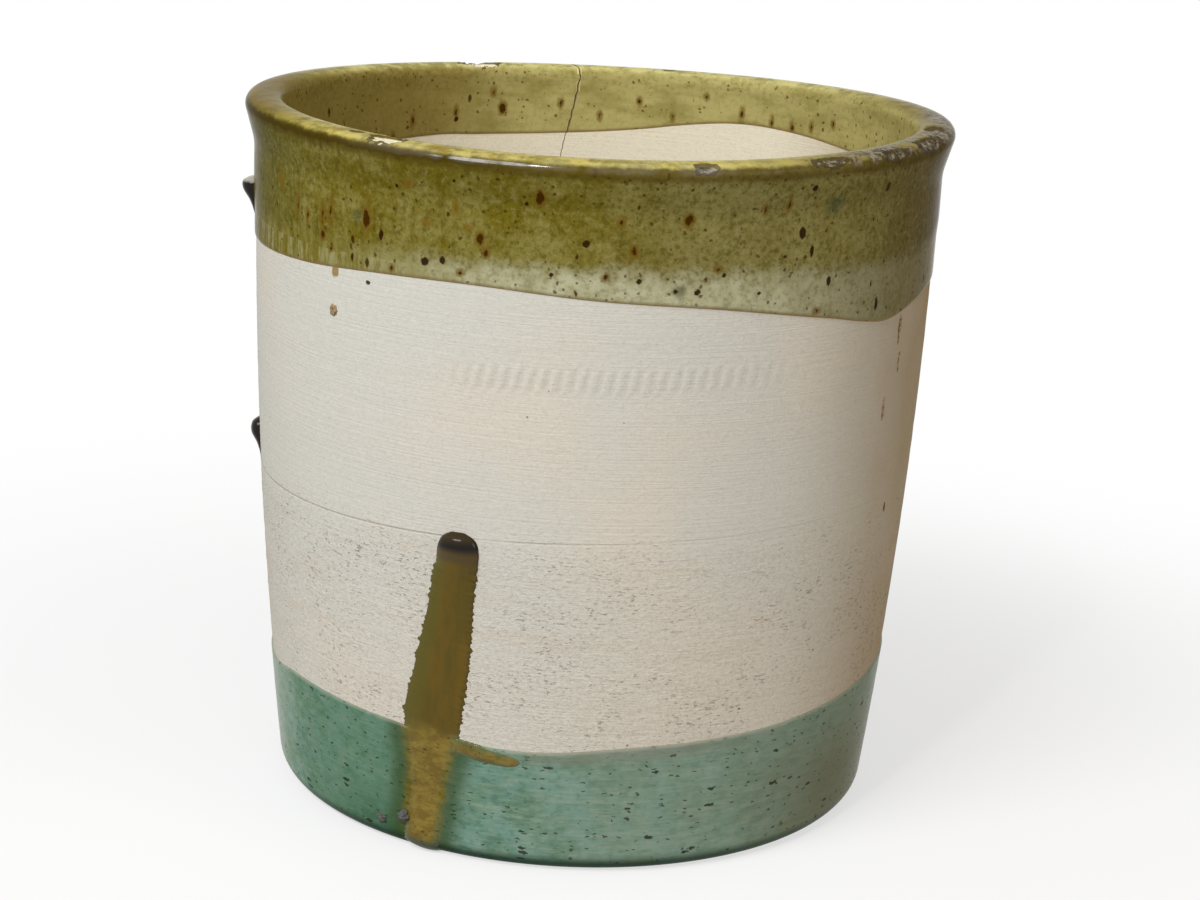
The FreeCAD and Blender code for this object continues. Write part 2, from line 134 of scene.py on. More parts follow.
HIGH_RUN = (
    (-99, 1.5, 5.4, 0.9), (-98, 30, 6, 0.9), (-96.4, 60, 6.2, 1.0), (-93.8, 105, 5.6, 0.9),
    (-91, 150, 5.2, 0.7),
    (-88.8, 185, 3.6, 0.5), (-87.8, 193, 3.8, 0.5), (-87.2, 197.5, 4.2, 2.0), (-87, 201.5, 4.6, 4.4),
    (-87, 204.2, 4.0, 4.4),
    (-87, 205.8, 2.0, 2.2),
)
LOW_RUN = (
    (-90.5, 1.5, 5.2, 0.9), (-89.8, 25, 5.6, 0.9), (-88.6, 45, 5.2, 0.8), (-87, 70, 4.2, 0.6),
    (-85.6, 98, 3.2, 0.5),
    (-84.8, 110, 3.2, 0.5), (-84.3, 114, 3.8, 1.3), (-84.3, 118, 4.4, 3.1), (-84.3, 121.5, 3.6, 2.8),
    (-84.3, 123.5, 1.4, 1.0),
)

# Drops on the bare wall: (bearing in degrees, level, width, length and swell in millimetres)
WALL_DROPS = (
    (-44.5, 177.6, 3.4, 3.6, 0.6), (60.3, 174.6, 1.6, 9.4, 0.6), (61.3, 163.5, 1.4, 6.4, 0.5),
    (57.2, 148.9, 1.3, 7.4, 0.5),
)
# Stains in the clay at the front: (bearing in degrees, level, seen width and length in millimetres, colour)
CLAY_MARKS = (
    (-36.6, 189, 1.6, 1.5, (0.06, 0.05, 0.035)), (-43.8, 190.3, 2.4, 4.6, (0.36, 0.25, 0.1)),
    (60.2, 113, 0.8, 3.4, (0.14, 0.085, 0.03)),
)
# Grains of kiln grit: (bearing in degrees, level, width, length and swell in millimetres)
GRIT_GRAINS = ((-30.4, 11.9, 4.6, 3.8, 2.0), (-35.6, 8.4, 4.0, 2.8, 1.4))

# Flakes off the lip: (bearing in degrees, distance out from the crest, width, length, depth in millimetres)
LIP_CHIPS = (
    (-156, -1.2, 18, 10, 3.2), (-34, -0.6, 15, 10, 2.0), (-41, -1, 7, 3.5, 0.6), (16, 3.4, 9, 5, 1.5),
    (37, 3, 17, 4.5, 1.3),
    (167, -1, 6, 5, 0.9), (52, 4, 16, 5, 1.1), (64, 3, 22, 7, 1.3), (76, -1, 14, 7, 1.3),
    (-120, 4, 10, 4, 0.6),
    (120, 4, 12, 4, 0.7),
)
# Crack through the back of the rim: (bearing in degrees, level and width in millimetres)
CRACK = (
    (-171.2, 172, 0.1), (-172.2, 188, 0.4), (-173.2, 202.7, 0.6), (-174.4, 214, 0.6), (-175.2, 222, 0.65),
    (-176.2, 234.6, 0.7), (-176.3, 242, 0.7),
)

# Tints of the bare clay, as linear colours
CLAY_BAND = (0.66, 0.57, 0.45)
# Painted light: paler clay inside the mouth, for light falling on the inner wall
CLAY_INSIDE_PAINTED_LIGHT = (0.84, 0.78, 0.62)
CLAY_GRAIN = (0.36, 0.31, 0.24)
CLAY_CRUMB = (0.86, 0.8, 0.68)
CLAY_FLECK = (0.23, 0.16, 0.09)
CLAY_PIT = (0.09, 0.065, 0.045)
CLAY_LINE = (0.25, 0.21, 0.15)
# Painted shade in the troughs of the tool chatter
CLAY_HOLLOW_SHADE = (0.42, 0.38, 0.32)
# Tints of the rim glaze
AMBER_SMUDGE = (0.19, 0.105, 0.008)
RUST_HALO = (0.17, 0.1, 0.012)
GREEN_SMUDGE = (0.06, 0.085, 0.04)
# Painted shade on the inner wall at the left
INSIDE_LEFT_SHADE = (0.22, 0.16, 0.033)
INSIDE_RIGHT = (0.3, 0.25, 0.08)
CELADON_CLOUD = (0.3, 0.27, 0.12)
# The two tints below are painted shade at the far left and the right side of the single coat
CELADON_LEFT_SHADE = (0.1, 0.075, 0.01)
CELADON_RIGHT_SHADE = (0.15, 0.115, 0.04)
# Painted shade at the far left edge of the double coat
OLIVE_FAR_LEFT_SHADE = (0.085, 0.06, 0.008)
OLIVE_LEFT = (0.12, 0.12, 0.02)
OLIVE_RIGHT = (0.28, 0.25, 0.105)
# Painted shade at the far right edge of the double coat
OLIVE_FAR_RIGHT_SHADE = (0.075, 0.045, 0.01)
# Dark glaze line under the lip, deepened as a painted shadow under its edge
LIP_LINE_AND_SHADOW = (0.085, 0.056, 0.006)
LIP_SHADE = (0.05, 0.032, 0.003)
LIP_BROWN = (0.24, 0.15, 0.015)
# The two tints below are painted shade at the left and right ends of the lip
LIP_LEFT_SHADE = (0.2, 0.135, 0.018)
LIP_RIGHT_SHADE = (0.28, 0.22, 0.06)
# Painted highlight on the back of the lip
LIP_BACK_HIGHLIGHT = (0.68, 0.62, 0.25)
WORN_DARK = (0.06, 0.048, 0.03)
WORN_PALE = (0.3, 0.26, 0.18)
FRESH_CHIP = (0.8, 0.72, 0.5)
CHIP_EDGE = (0.06, 0.042, 0.018)
# Tints of the foot glaze
GREEN_SCRATCH = (0.07, 0.15, 0.1)
GREEN_MOTTLE = (0.05, 0.14, 0.08)
GREEN_POOL = (0.025, 0.1, 0.05)
# Painted sheen at the far left edge of the foot glaze
GREEN_FAR_LEFT_SHEEN = (0.44, 0.5, 0.37)
GREEN_LEFT = (0.09, 0.19, 0.1)
GREEN_MIDDLE = (0.34, 0.4, 0.33)
# Olive-grey glaze at the right, darkened further as painted shade
GREEN_RIGHT_AND_SHADE = (0.17, 0.165, 0.095)
GREEN_STRIP = (0.25, 0.25, 0.2)
GREEN_EDGE = (0.36, 0.32, 0.25)
GREEN_FOOT = (0.015, 0.05, 0.026)
STAIN_HALO = (0.05, 0.085, 0.02)
OCHRE_DARK = (0.17, 0.11, 0.01)
OCHRE_PALE = (0.27, 0.19, 0.025)
PINHOLE = (0.03, 0.045, 0.02)
PIT = (0.028, 0.022, 0.01)
# Tints of the runs, spots, grit and floor
AMBER_STREAK = (0.1, 0.068, 0.0)
AMBER_GREEN = (0.105, 0.092, 0.003)
AMBER_EDGE = (0.05, 0.035, 0.003)
BEAD_FOOT = (0.085, 0.055, 0.014)
BEAD_TOP = (0.042, 0.026, 0.006)
# Painted highlight on the pale cap of the high bead at the left
BEAD_CAP_HIGHLIGHT = (0.45, 0.43, 0.35)
SPOT_DARK = (0.17, 0.1, 0.03)
SPOT_PALE = (0.36, 0.23, 0.1)
GRIT_DARK = (0.05, 0.05, 0.045)
FLOOR_LIT = (0.56, 0.53, 0.48)
FLOOR_SEEN = (0.9, 0.9, 0.9)


def length(name, description, default):
    """A length property in metres."""
    return FloatProperty(name=name, description=description, default=default, unit="LENGTH", precision=4)


def number(name, description, default):
    """A plain number property."""
    return FloatProperty(name=name, description=description, default=default)


def angle(name, description, degrees):
    """An angle property."""
    return FloatProperty(name=name, description=description, default=math.radians(degrees), subtype="ANGLE")


def power(name, description, default):
    """A lamp's power in watts."""
    return FloatProperty(name=name, description=description, default=default, subtype="POWER")


def colour(name, description, default):
    """A linear colour property."""
    return FloatVectorProperty(name=name, description=description, default=default, subtype="COLOR",
                               min=0, max=1)


class FlowerPotForm(bpy.types.PropertyGroup):
    """Sizes of the thrown clay and its coats."""

    height: length("Height", "Level of the clay lip's crest", CLAY_BOX[1][2])
    lip_radius: length("Lip radius", "Outer radius of the clay lip", CLAY_BOX[1][0])
    neck_radius: length("Neck radius", "Outer radius of the wall under the lip", 115.5 * MM)
    neck_drop: length("Neck drop", "How far the neck lies under the crest", 17 * MM)
    foot_radius: length("Foot radius", "Radius of the wall at the ground", 102.6 * MM)
    foot_rounding: length("Foot rounding", "Radius of the rounded lower edge", 7 * MM)
    wall_bow: length("Wall bow", "How far the wall bows out between foot and neck", 3.2 * MM)
    wall_thickness: length("Wall thickness", "Thickness of the clay wall", 8.4 * MM)
    floor_level: length("Floor level", "Level of the floor inside", 12 * MM)
    floor_rounding: length("Floor rounding", "Radius between floor and wall", 14 * MM)
    ring_width: length("Foot ring width", "Width of the ring that the pot stands on", 14 * MM)
    recess_depth: length("Recess depth", "Depth of the recess under the floor", 2.5 * MM)
    drain_radius: length("Drain radius", "Radius of the drain hole", 8 * MM)
    lip_edge_rounding: length("Lip edge rounding", "Radius of the lip's outer edge", 2.6 * MM)
    lip_crown_radius: length("Lip crown radius", "Radius of the domed lip", 18 * MM)
    mouth_rounding: length("Mouth rounding", "Radius of the lip's inner edge", 3 * MM)
    rim_saddle: length("Rim saddle", "How far the rim rises at the sides and dips between them", 0.9 * MM)
    out_of_round: length("Out of round", "How far the wall strays from a circle", 0.5 * MM)
    ring_depth: length("Throwing rings", "Depth of the uneven rings left by throwing", 0.12 * MM)
    first_coat: length("First rim coat", "Thickness of the first rim glaze", 0.5 * MM)
    second_coat: length("Second rim coat", "Thickness of the second rim glaze", 0.4 * MM)
    foot_coat: length("Foot coat", "Thickness of the foot glaze", 0.5 * MM)
    coat_root: length("Coat root", "How deep the hidden side of a coat lies in the clay", 0.25 * MM)
    foot_clearance: length("Foot clearance", "Gap between the foot glaze and the ground", 0.8 * MM)
    columns: IntProperty(name="Columns", description="Points once round the pot", default=720, min=48)


class FlowerPotColours(bpy.types.PropertyGroup):
    """Colours of the clay, the glazes and the grit."""

    clay: colour("Clay", "Bare clay", (0.7, 0.685, 0.615))
    clay_warm: colour("Warm clay", "Warm patches of the bare clay", (0.75, 0.69, 0.59))
    # Toasted clay, also used as painted shade on the right side of the wall
    clay_toasted_and_shaded: colour("Toasted clay", "Clay that the fire has toasted", (0.35, 0.25, 0.13))
    olive: colour("Olive", "Double rim glaze", (0.168, 0.133, 0.011))
    olive_light: colour("Light olive", "Thin places of the double rim glaze", (0.253, 0.218, 0.053))
    olive_dark: colour("Dark olive", "Grain of the rim glaze", (0.083, 0.064, 0.009))
    inside_glaze: colour("Inside glaze", "Rim glaze inside the mouth", (0.47, 0.41, 0.155))
    # Straw glaze over the lip, made brighter as painted light on the lip's top
    straw: colour("Straw", "Glaze that breaks thin over the lip", (0.57, 0.48, 0.135))
    celadon: colour("Celadon", "Single rim glaze", (0.522, 0.512, 0.328))
    toast: colour("Toasted edge", "Thin toasted edge of a coat", (0.36, 0.25, 0.1))
    iron: colour("Iron", "Iron spots", (0.028, 0.009, 0.002))
    rust: colour("Rust", "Rusty marks", (0.05, 0.018, 0.001))
    green: colour("Green", "Foot glaze", (0.143, 0.268, 0.178))
    teal: colour("Teal", "Thicker foot glaze", (0.193, 0.34, 0.278))
    mist: colour("Mist", "Cloudy foot glaze", (0.335, 0.415, 0.31))
    amber: colour("Amber", "Runs of glaze", (0.14, 0.083, 0.0))
    amber_dark: colour("Dark amber", "Thick beads of the runs", (0.006, 0.003, 0.001))
    grit: colour("Grit", "Kiln grit", (0.13, 0.125, 0.115))


def form_of(context):
    """The sizes that belong to the scene."""
    return context.scene.flower_pot_form


def colours_of(context):
    """The colours that belong to the scene."""
    return context.scene.flower_pot_colours


def smooth_curve(keys, values, period=None):
    """A smooth function through values at rising keys; a period closes it on itself."""
    keys, values = list(keys), list(values)
    if period:
        keys = [keys[-1] - period, *keys, keys[0] + period, keys[1] + period]
        values = [values[-1], *values, values[0], values[1]]
    last = len(keys) - 1
    slopes = []
    for index in range(len(keys)):
        before, after = max(index - 1, 0), min(index + 1, last)
        slopes.append((values[after] - values[before]) / (keys[after] - keys[before]))

    def value_at(key):
        if period:
            key = (key - keys[1]) % period + keys[1]
        left = min(max(bisect.bisect_right(keys, key) - 1, 0), last - 1)
        span = keys[left + 1] - keys[left]
        t = min(max((key - keys[left]) / span, 0), 1)
        rise = t * t * (3 - 2 * t)
        tilt = slopes[left] * t * (1 - t) ** 2 - slopes[left + 1] * t * t * (1 - t)
        return values[left] + rise * (values[left + 1] - values[left]) + tilt * span

    return value_at


def edge_curve(stations):
    """The level of a coat's edge, in metres, by bearing in radians."""
    bearings = [math.radians(bearing) for bearing, _ in stations]
    return smooth_curve(bearings, [level * MM for _, level in stations], TAU)


def rounded(corners, step=math.radians(6)):
    """The points of an outline whose (radius, level, rounding) corners are turned into arcs."""
    points = []
    places = [Vector(corner[:2]) for corner in corners]
    for index, (place, corner) in enumerate(zip(places, corners)):
        if index in (0, len(corners) - 1) or not corner[2]:
            points.append(place)
            continue
        back = (places[index - 1] - place).normalized()
        ahead = (places[index + 1] - place).normalized()
        half = back.angle(ahead) / 2
        centre = place + (back + ahead).normalized() * corner[2] / math.sin(half)
        start = place + back * corner[2] / math.tan(half) - centre
        end = place + ahead * corner[2] / math.tan(half) - centre
        sweep = math.atan2(start.cross(end), start.dot(end))
        steps = max(2, math.ceil(abs(sweep) / step))
        for turn in range(steps + 1):
            points.append(centre + Matrix.Rotation(sweep * turn / steps, 2) @ start)
    return points


def pot_corners(form):
    """The corners of the clay's section, from the drain hole out under the foot, over the lip and back."""
    neck_level = form.height - form.neck_drop
    flare_level = form.height - 14 * MM
    lip_level = form.height - 0.7 * MM
    crest_level = form.height + 0.25 * MM
    mouth_radius = form.neck_radius - form.wall_thickness
    crest_radius = (mouth_radius + form.lip_radius) / 2
    base_radius = form.foot_radius - form.foot_rounding
    ring_radius = base_radius - form.ring_width
    flare = form.floor_level / neck_level * (form.neck_radius - form.foot_radius)
    floor_radius = form.foot_radius - form.wall_thickness + flare
    ease = 0.8 * MM
    drain = (form.drain_radius, form.recess_depth, 0)
    return [
        drain,
        (ring_radius, form.recess_depth, ease),
        (ring_radius, 0, ease),
        (form.foot_radius, 0, form.foot_rounding),
        (form.neck_radius, flare_level, 20 * MM),
        (form.lip_radius + 0.1 * MM, lip_level, form.lip_edge_rounding),
        (crest_radius, crest_level, form.lip_crown_radius),
        (mouth_radius, lip_level, form.mouth_rounding),
        (mouth_radius, neck_level, 40 * MM),
        (floor_radius, form.floor_level, form.floor_rounding),
        (form.drain_radius, form.floor_level, ease),
        drain,
    ]


class PotSurface:
    """The clay's surface by bearing and distance along its section, uneven as a thrown wall is."""

    step = 0.1 * MM

    def __init__(self, form):
        self.form = form
        self.neck_level = form.height - form.neck_drop
        points = rounded(pot_corners(form))
        alongs = [0.0]
        for start, end in zip(points, points[1:]):
            alongs.append(alongs[-1] + (end - start).length)
        crest = max(range(len(points)), key=lambda index: points[index].y)
        base = max(index for index in range(crest) if points[index].y < 0.01 * MM)
        floor_level = form.floor_level + 0.01 * MM
        floor = min(index for index in range(crest, len(points)) if points[index].y < floor_level)
        self.crest, self.base, self.floor, self.total = alongs[crest], alongs[base], alongs[floor], alongs[-1]
        counts = range(int(self.total / self.step) + 2)
        self.samples = [self.sample(points, alongs, count * self.step) for count in counts]

    def sample(self, points, alongs, along):
        """The section's radius, level and outward normal at this distance along it."""
        index = min(max(bisect.bisect_right(alongs, along) - 1, 0), len(points) - 2)
        start, end = points[index], points[index + 1]
        share = min((along - alongs[index]) / (alongs[index + 1] - alongs[index]), 1)
        before, after = points[max(index - 1, 0)], points[min(index + 2, len(points) - 1)]
        way = (end - before).normalized().lerp((after - start).normalized(), share).normalized()
        spot = start.lerp(end, share)
        return spot.x, spot.y, way.y, -way.x

    def section(self, along):
        """The sampled section's radius, level and outward normal at this distance along it."""
        count = min(max(along, 0), self.total) / self.step
        share = count % 1
        before, after = self.samples[int(count)], self.samples[int(count) + 1]
        return [low + (high - low) * share for low, high in zip(before, after)]

    def outside(self, level):
        """How far along the section its outer side reaches this level."""
        return self.search(self.base, self.crest, level)

    def inside(self, level):
        """How far along the section its inner side reaches this level."""
        return self.search(self.floor, self.crest, level)

    def search(self, low, high, level):
        """Halves the stretch from low to high until it finds this level."""
        for _ in range(HALVINGS):
            middle = (low + high) / 2
            if self.section(middle)[1] < level:
                low = middle
            else:
                high = middle
        return (low + high) / 2

    def chip(self, bearing, along):
        """How deep a flake is missing from the lip here."""
        out = (self.crest - along) / MM
        if abs(out) > CHIP_REACH:
            return 0.0
        depth = 0.0
        for chip_bearing, chip_out, width, span, chip_depth in LIP_CHIPS:
            turn = (bearing - math.radians(chip_bearing) + math.pi) % TAU - math.pi
            across = turn * self.form.neck_radius / MM / (width / 2)
            if abs(across) > 1.3:
                continue
            ragged = noise.noise(Vector((turn * 160, out * 0.7, chip_bearing)))
            inside = 1 - math.hypot(across, (out - chip_out) / (span / 2)) + 0.3 * ragged
            if inside > 0:
                depth = max(depth, chip_depth * min(1, 2.2 * inside) * (0.8 + 0.5 * ragged) * MM)
        return depth

    def place(self, bearing, along, lift=0.0):
        """The point at this bearing, this far along the section and this high off the clay."""
        form = self.form
        radius, level, out, up = self.section(along)
        lift -= self.chip(bearing, along)
        radius, level = radius + out * lift, level + up * lift
        share = min(max(level / self.neck_level, 0), 1)
        arch = 4 * share * (1 - share)
        rings = noise.noise(Vector((math.sin(bearing), math.cos(bearing), level / RING_SPACING)))
        stray = math.cos(2 * bearing - 1.2) + 0.5 * math.cos(3 * bearing + 1.1)
        swell = arch * (form.wall_bow + form.ring_depth * rings) + form.out_of_round * share * stray
        radius *= 1 + swell / (form.foot_radius + share * (form.neck_radius - form.foot_radius))
        level -= form.rim_saddle * share ** 6 * math.cos(2 * bearing)
        return Vector((radius * math.sin(bearing), -radius * math.cos(bearing), level))


def mark_field(marks, reach=3.0):
    """How deep a place lies in the nearest of the marks, in millimetres, and negative outside them."""
    sizes = [(math.radians(bearing), level, width / 2, span / 2) for bearing, level, width, span in marks]

    def depth_at(bearing, level, radius):
        deepest = -reach
        for mark_bearing, mark_level, half_width, half_span in sizes:
            rise = level / MM - mark_level
            if abs(rise) > half_span + reach:
                continue
            turn = (bearing - mark_bearing + math.pi) % TAU - math.pi
            across = turn * radius / MM
            if abs(across) > half_width + reach:
                continue
            away = math.hypot(across / half_width, rise / half_span)
            deepest = max(deepest, (1 - away) * min(half_width, half_span))
        return deepest

    return depth_at


def thrown_ring(stops, columns, place, marks=None):
    """A mesh made by laying a grid once round the axis, with its seams welded.

    stops are (row, cuts up to the next row); place takes a bearing and a row; marks are attributes worked out
    from the bearing, the row and the placed point.
    """
    rows = []
    for (start, cuts), (end, _) in zip(stops, stops[1:]):
        rows += [start + (end - start) * step / (cuts + 1) for step in range(cuts + 1)]
    rows.append(stops[-1][0])
    bm = bmesh.new()
    bmesh.ops.create_grid(bm, x_segments=columns, y_segments=len(rows) - 1, size=1)
    layers = {name: bm.verts.layers.float.new(name) for name in (marks or {})}
    for vert in bm.verts:
        bearing = (round((vert.co.x + 1) / 2 * columns) / columns - 0.5) * TAU
        row = rows[round((vert.co.y + 1) / 2 * (len(rows) - 1))]
        vert.co = place(bearing, row)
        for name, layer in layers.items():
            vert[layer] = marks[name](bearing, row, vert.co)
    bmesh.ops.remove_doubles(bm, verts=bm.verts[:], dist=0.001 * MM)
    bmesh.ops.recalc_face_normals(bm, faces=bm.faces[:])
    return bm


def crack_cutter(surface):
    """A thin jagged wedge through the wall that opens at the lip."""
    levels = [level for _, level, _ in CRACK]
    bearing_at = smooth_curve(levels, [math.radians(bearing) for bearing, _, _ in CRACK])
    width_at = smooth_curve(levels, [width for _, _, width in CRACK])
    bm = bmesh.new()
    bmesh.ops.create_grid(bm, x_segments=1, y_segments=70, size=1)
    outer = bmesh.ops.extrude_face_region(bm, geom=bm.faces[:])["geom"]
    outer = {item for item in outer if isinstance(item, bmesh.types.BMVert)}
    for vert in bm.verts:
        level = levels[0] + (vert.co.y + 1) / 2 * (levels[-1] - levels[0])
        depth = 20 if vert in outer else -8
        radius = surface.form.neck_radius - surface.form.wall_thickness + depth * MM
        jag = noise.noise(Vector((level * 0.42, 3.1, 0.7))) * 0.5
        across = (vert.co.x * width_at(level) / 2 + jag + 0.45 * depth) * MM
        bearing = bearing_at(level) + across / surface.form.neck_radius
        vert.co = radius * math.sin(bearing), -radius * math.cos(bearing), level * MM
    bmesh.ops.recalc_face_normals(bm, faces=bm.faces[:])
    mesh = bpy.data.meshes.new("crack")
    bm.to_mesh(mesh)
    bm.free()
    cutter = bpy.data.objects.new("crack", mesh)
    bpy.context.scene.collection.objects.link(cutter)
    return cutter


def crack_open(piece, surface):
    """Cuts the crack through a finished piece."""
    cutter = crack_cutter(surface)
    cut = piece.modifiers.new("crack", "BOOLEAN")
    cut.object, cut.operation, cut.solver = cutter, "DIFFERENCE", "EXACT"
    evaluated = piece.evaluated_get(bpy.context.evaluated_depsgraph_get())
    cracked = bpy.data.meshes.new_from_object(evaluated)
    piece.modifiers.clear()
    whole = piece.data
    piece.data = cracked
    bpy.data.meshes.remove(whole)
    cracked.name = piece.name
    bpy.data.meshes.remove(cutter.data)


def finish_piece(bm, name, node, material, sharp=math.radians(50)):
    """Makes the object for a mesh, gives it its material and lets it stand for its CAD node."""
    for face in bm.faces:
        face.smooth = True
    for edge in bm.edges:
        edge.smooth = edge.calc_face_angle(0) < sharp
    mesh = bpy.data.meshes.new(name)
    bm.to_mesh(mesh)
    bm.free()
    if not mesh.polygons:
        raise RuntimeError(f"{name} has no faces")
    mesh.materials.append(material)
    piece = bpy.data.objects.new(name, mesh)
    bpy.context.scene.collection.objects.link(piece)
    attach(piece, "root")
    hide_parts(node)
    return piece


class Nodes:
    """Short ways to add shader nodes to a tree and wire them."""

    def __init__(self, tree):
        self.tree = tree

    def feed(self, socket, value):
        """Gives a socket another node's output, a colour or a number."""
        if isinstance(value, bpy.types.NodeSocket):
            self.tree.links.new(value, socket)
        elif socket.type == "RGBA" and len(value) == 3:
            socket.default_value = (*value, 1)
        else:
            socket.default_value = value

    def add(self, kind, inputs=None, **settings):
        """A node with settings, whose inputs are numbers, colours or other nodes' outputs."""
        node = self.tree.nodes.new(kind)
        for name, value in settings.items():
            setattr(node, name, value)
        for name, value in (inputs or {}).items():
            self.feed(node.inputs[name], value)
        return node

    def sum(self, operation, first, second=0.0, third=0.0):
        """The result of a math node."""
        return self.add("ShaderNodeMath", {0: first, 1: second, 2: third}, operation=operation).outputs[0]

    def times(self, value, *factors):
        """A value multiplied by each of the factors."""
        for factor in factors:
            value = self.sum("MULTIPLY", value, factor)
        return value

    def scaled(self, value, factor, offset):
        """A value times a factor, plus an offset."""
        return self.sum("MULTIPLY_ADD", value, factor, offset)

    def band(self, value, start, end, low=0.0, high=1.0):
        """Goes smoothly from low to high as the value goes from start to end."""
        inputs = {"Value": value, "From Min": start, "From Max": end, "To Min": low, "To Max": high}
        return self.add("ShaderNodeMapRange", inputs, interpolation_type="SMOOTHSTEP").outputs["Result"]

    def within(self, value, start, full, ease, end):
        """Rises from 0 to 1 between start and full, and falls again between ease and end."""
        return self.times(self.band(value, start, full), self.band(value, end, ease))

    def mix(self, factor, first, second):
        """One colour mixed into another."""
        node = self.add("ShaderNodeMix", data_type="RGBA")
        for index, value in ((0, factor), (6, first), (7, second)):
            self.feed(node.inputs[index], value)
        return node.outputs[2]

    def layered(self, base, *layers):
        """A base colour with (mask, colour) layers laid over it in turn."""
        for mask, tint in layers:
            base = self.mix(mask, base, tint)
        return base

    def place(self):
        """Object coordinates."""
        return self.add("ShaderNodeTexCoord").outputs["Object"]

    def parts(self, vector):
        """The X, Y and Z of a vector."""
        return self.add("ShaderNodeSeparateXYZ", {"Vector": vector}).outputs

    def reach(self, vector):
        """How far a place lies from the pot's axis."""
        flat = self.stretch(vector, (1, 1, 0))
        return self.add("ShaderNodeVectorMath", {0: flat}, operation="LENGTH").outputs["Value"]

    def stretch(self, vector, amounts):
        """A vector scaled along each axis."""
        return self.add("ShaderNodeVectorMath", {0: vector, 1: amounts}, operation="MULTIPLY").outputs[0]

    def ragged(self, vector, scale, shift):
        """A vector shaken by noise, so that a pattern laid on it gets uneven outlines."""
        shake = self.add("ShaderNodeTexNoise", {"Vector": vector, "Scale": scale}).outputs["Color"]
        inputs = {0: shake, 1: (shift, shift, shift), 2: vector}
        return self.add("ShaderNodeVectorMath", inputs, operation="MULTIPLY_ADD").outputs[0]

    def cloud(self, vector, scale, detail=3.0, roughness=0.5):
        """Soft noise from 0 to 1; a scale of three numbers stretches it along the axes."""
        if isinstance(scale, tuple):
            vector, scale = self.stretch(vector, scale), 1
        inputs = {"Vector": vector, "Scale": scale, "Detail": detail, "Roughness": roughness}
        return self.add("ShaderNodeTexNoise", inputs).outputs["Fac"]

    def specks(self, vector, scale, share, size, softness):
        """A mask of scattered specks, from the shared group."""
        node = self.add("ShaderNodeGroup", node_tree=specks_group())
        inputs = {"Vector": vector, "Scale": scale, "Share": share, "Size": size, "Softness": softness}
        for name, value in inputs.items():
            self.feed(node.inputs[name], value)
        return node.outputs["Mask"]

    def mark(self, name):
        """A float attribute of the piece."""
        return self.add("ShaderNodeAttribute", attribute_name=name).outputs["Fac"]

    def bump(self, height, strength, distance):
        """A normal from a height pattern."""
        inputs = {"Height": height, "Strength": strength, "Distance": distance}
        return self.add("ShaderNodeBump", inputs).outputs["Normal"]

    def wire(self, shader, **sockets):
        """Feeds the shader's sockets, whose names have spaces for the underscores."""
        for name, value in sockets.items():
            self.feed(shader.inputs[name.replace("_", " ")], value)


def new_group(name, inputs, outputs):
    """A shader node group with these (name, socket type) inputs and outputs, and its two end nodes."""
    tree = bpy.data.node_groups.new(name, "ShaderNodeTree")
    for socket, kind in inputs:
        tree.interface.new_socket(socket, in_out="INPUT", socket_type=kind)
    for socket, kind in outputs:
        tree.interface.new_socket(socket, in_out="OUTPUT", socket_type=kind)
    return tree, tree.nodes.new("NodeGroupInput").outputs, tree.nodes.new("NodeGroupOutput").inputs


def specks_group():
    """Scattered specks: a cell pattern keeps a random share of its cells and gives each its own size."""
    name = "scattered specks"
    if name in bpy.data.node_groups:
        return bpy.data.node_groups[name]
    inputs = [("Vector", "NodeSocketVector")]
    inputs += [(socket, "NodeSocketFloat") for socket in ("Scale", "Share", "Size", "Softness")]
    tree, given, result = new_group(name, inputs, [("Mask", "NodeSocketFloat")])
    nodes = Nodes(tree)
    cells = nodes.add("ShaderNodeTexVoronoi", {"Vector": given["Vector"], "Scale": given["Scale"]})
    chance = nodes.add("ShaderNodeSeparateColor", {"Color": cells.outputs["Color"]}).outputs
    kept = nodes.sum("LESS_THAN", chance["Red"], given["Share"])
    reach = nodes.times(given["Size"], nodes.scaled(chance["Green"], 0.8, 0.2))
    inside = nodes.sum("SUBTRACT", reach, cells.outputs["Distance"])
    tree.links.new(nodes.times(nodes.band(inside, 0.0, given["Softness"]), kept), result["Mask"])
    return tree


def new_material(name):
    """An empty material with its node tools and its Principled shader."""
    material = bpy.data.materials.new(name)
    material.use_nodes = True
    return material, Nodes(material.node_tree), material.node_tree.nodes["Principled BSDF"]


def turned_line(nodes, place):
    """A mask of the fine line that turning has left round the belly, fainter to one side."""
    x, _, z = nodes.parts(place)
    away = nodes.sum("ABSOLUTE", nodes.sum("SUBTRACT", z, nodes.scaled(x, 0.04, BELLY_LEVEL)))
    faint = nodes.times(nodes.band(nodes.cloud(place, 22, 1), 0.25, 0.4), nodes.band(x, 0.03, -0.03, 0.3, 1))
    return nodes.times(nodes.band(away, 0.0001, 0.0005, 1, 0), faint)


def tool_chatter(nodes, place):
    """The slanting ridges that a chattering tool has left at the front, and a mask of their troughs for
    painted shade.
    """
    x, y, z = nodes.parts(place)
    ridges = nodes.sum("SINE", nodes.times(nodes.scaled(z, -0.15, x), TAU / CHATTER_SPACING))
    outer = nodes.times(nodes.band(nodes.reach(place), 0.111, 0.1125), nodes.band(y, -0.06, -0.09))
    strip = nodes.within(nodes.scaled(x, -0.035, z), 0.161, 0.164, 0.168, 0.171)
    zone = nodes.times(strip, outer, nodes.within(x, -0.048, -0.032, 0.035, 0.08))
    hollow_shade = nodes.times(zone, nodes.band(ridges, 0.2, -0.8, 0, 0.16))
    return nodes.times(ridges, zone, nodes.band(x, -0.04, 0.03, 0.5, 0.24)), hollow_shade


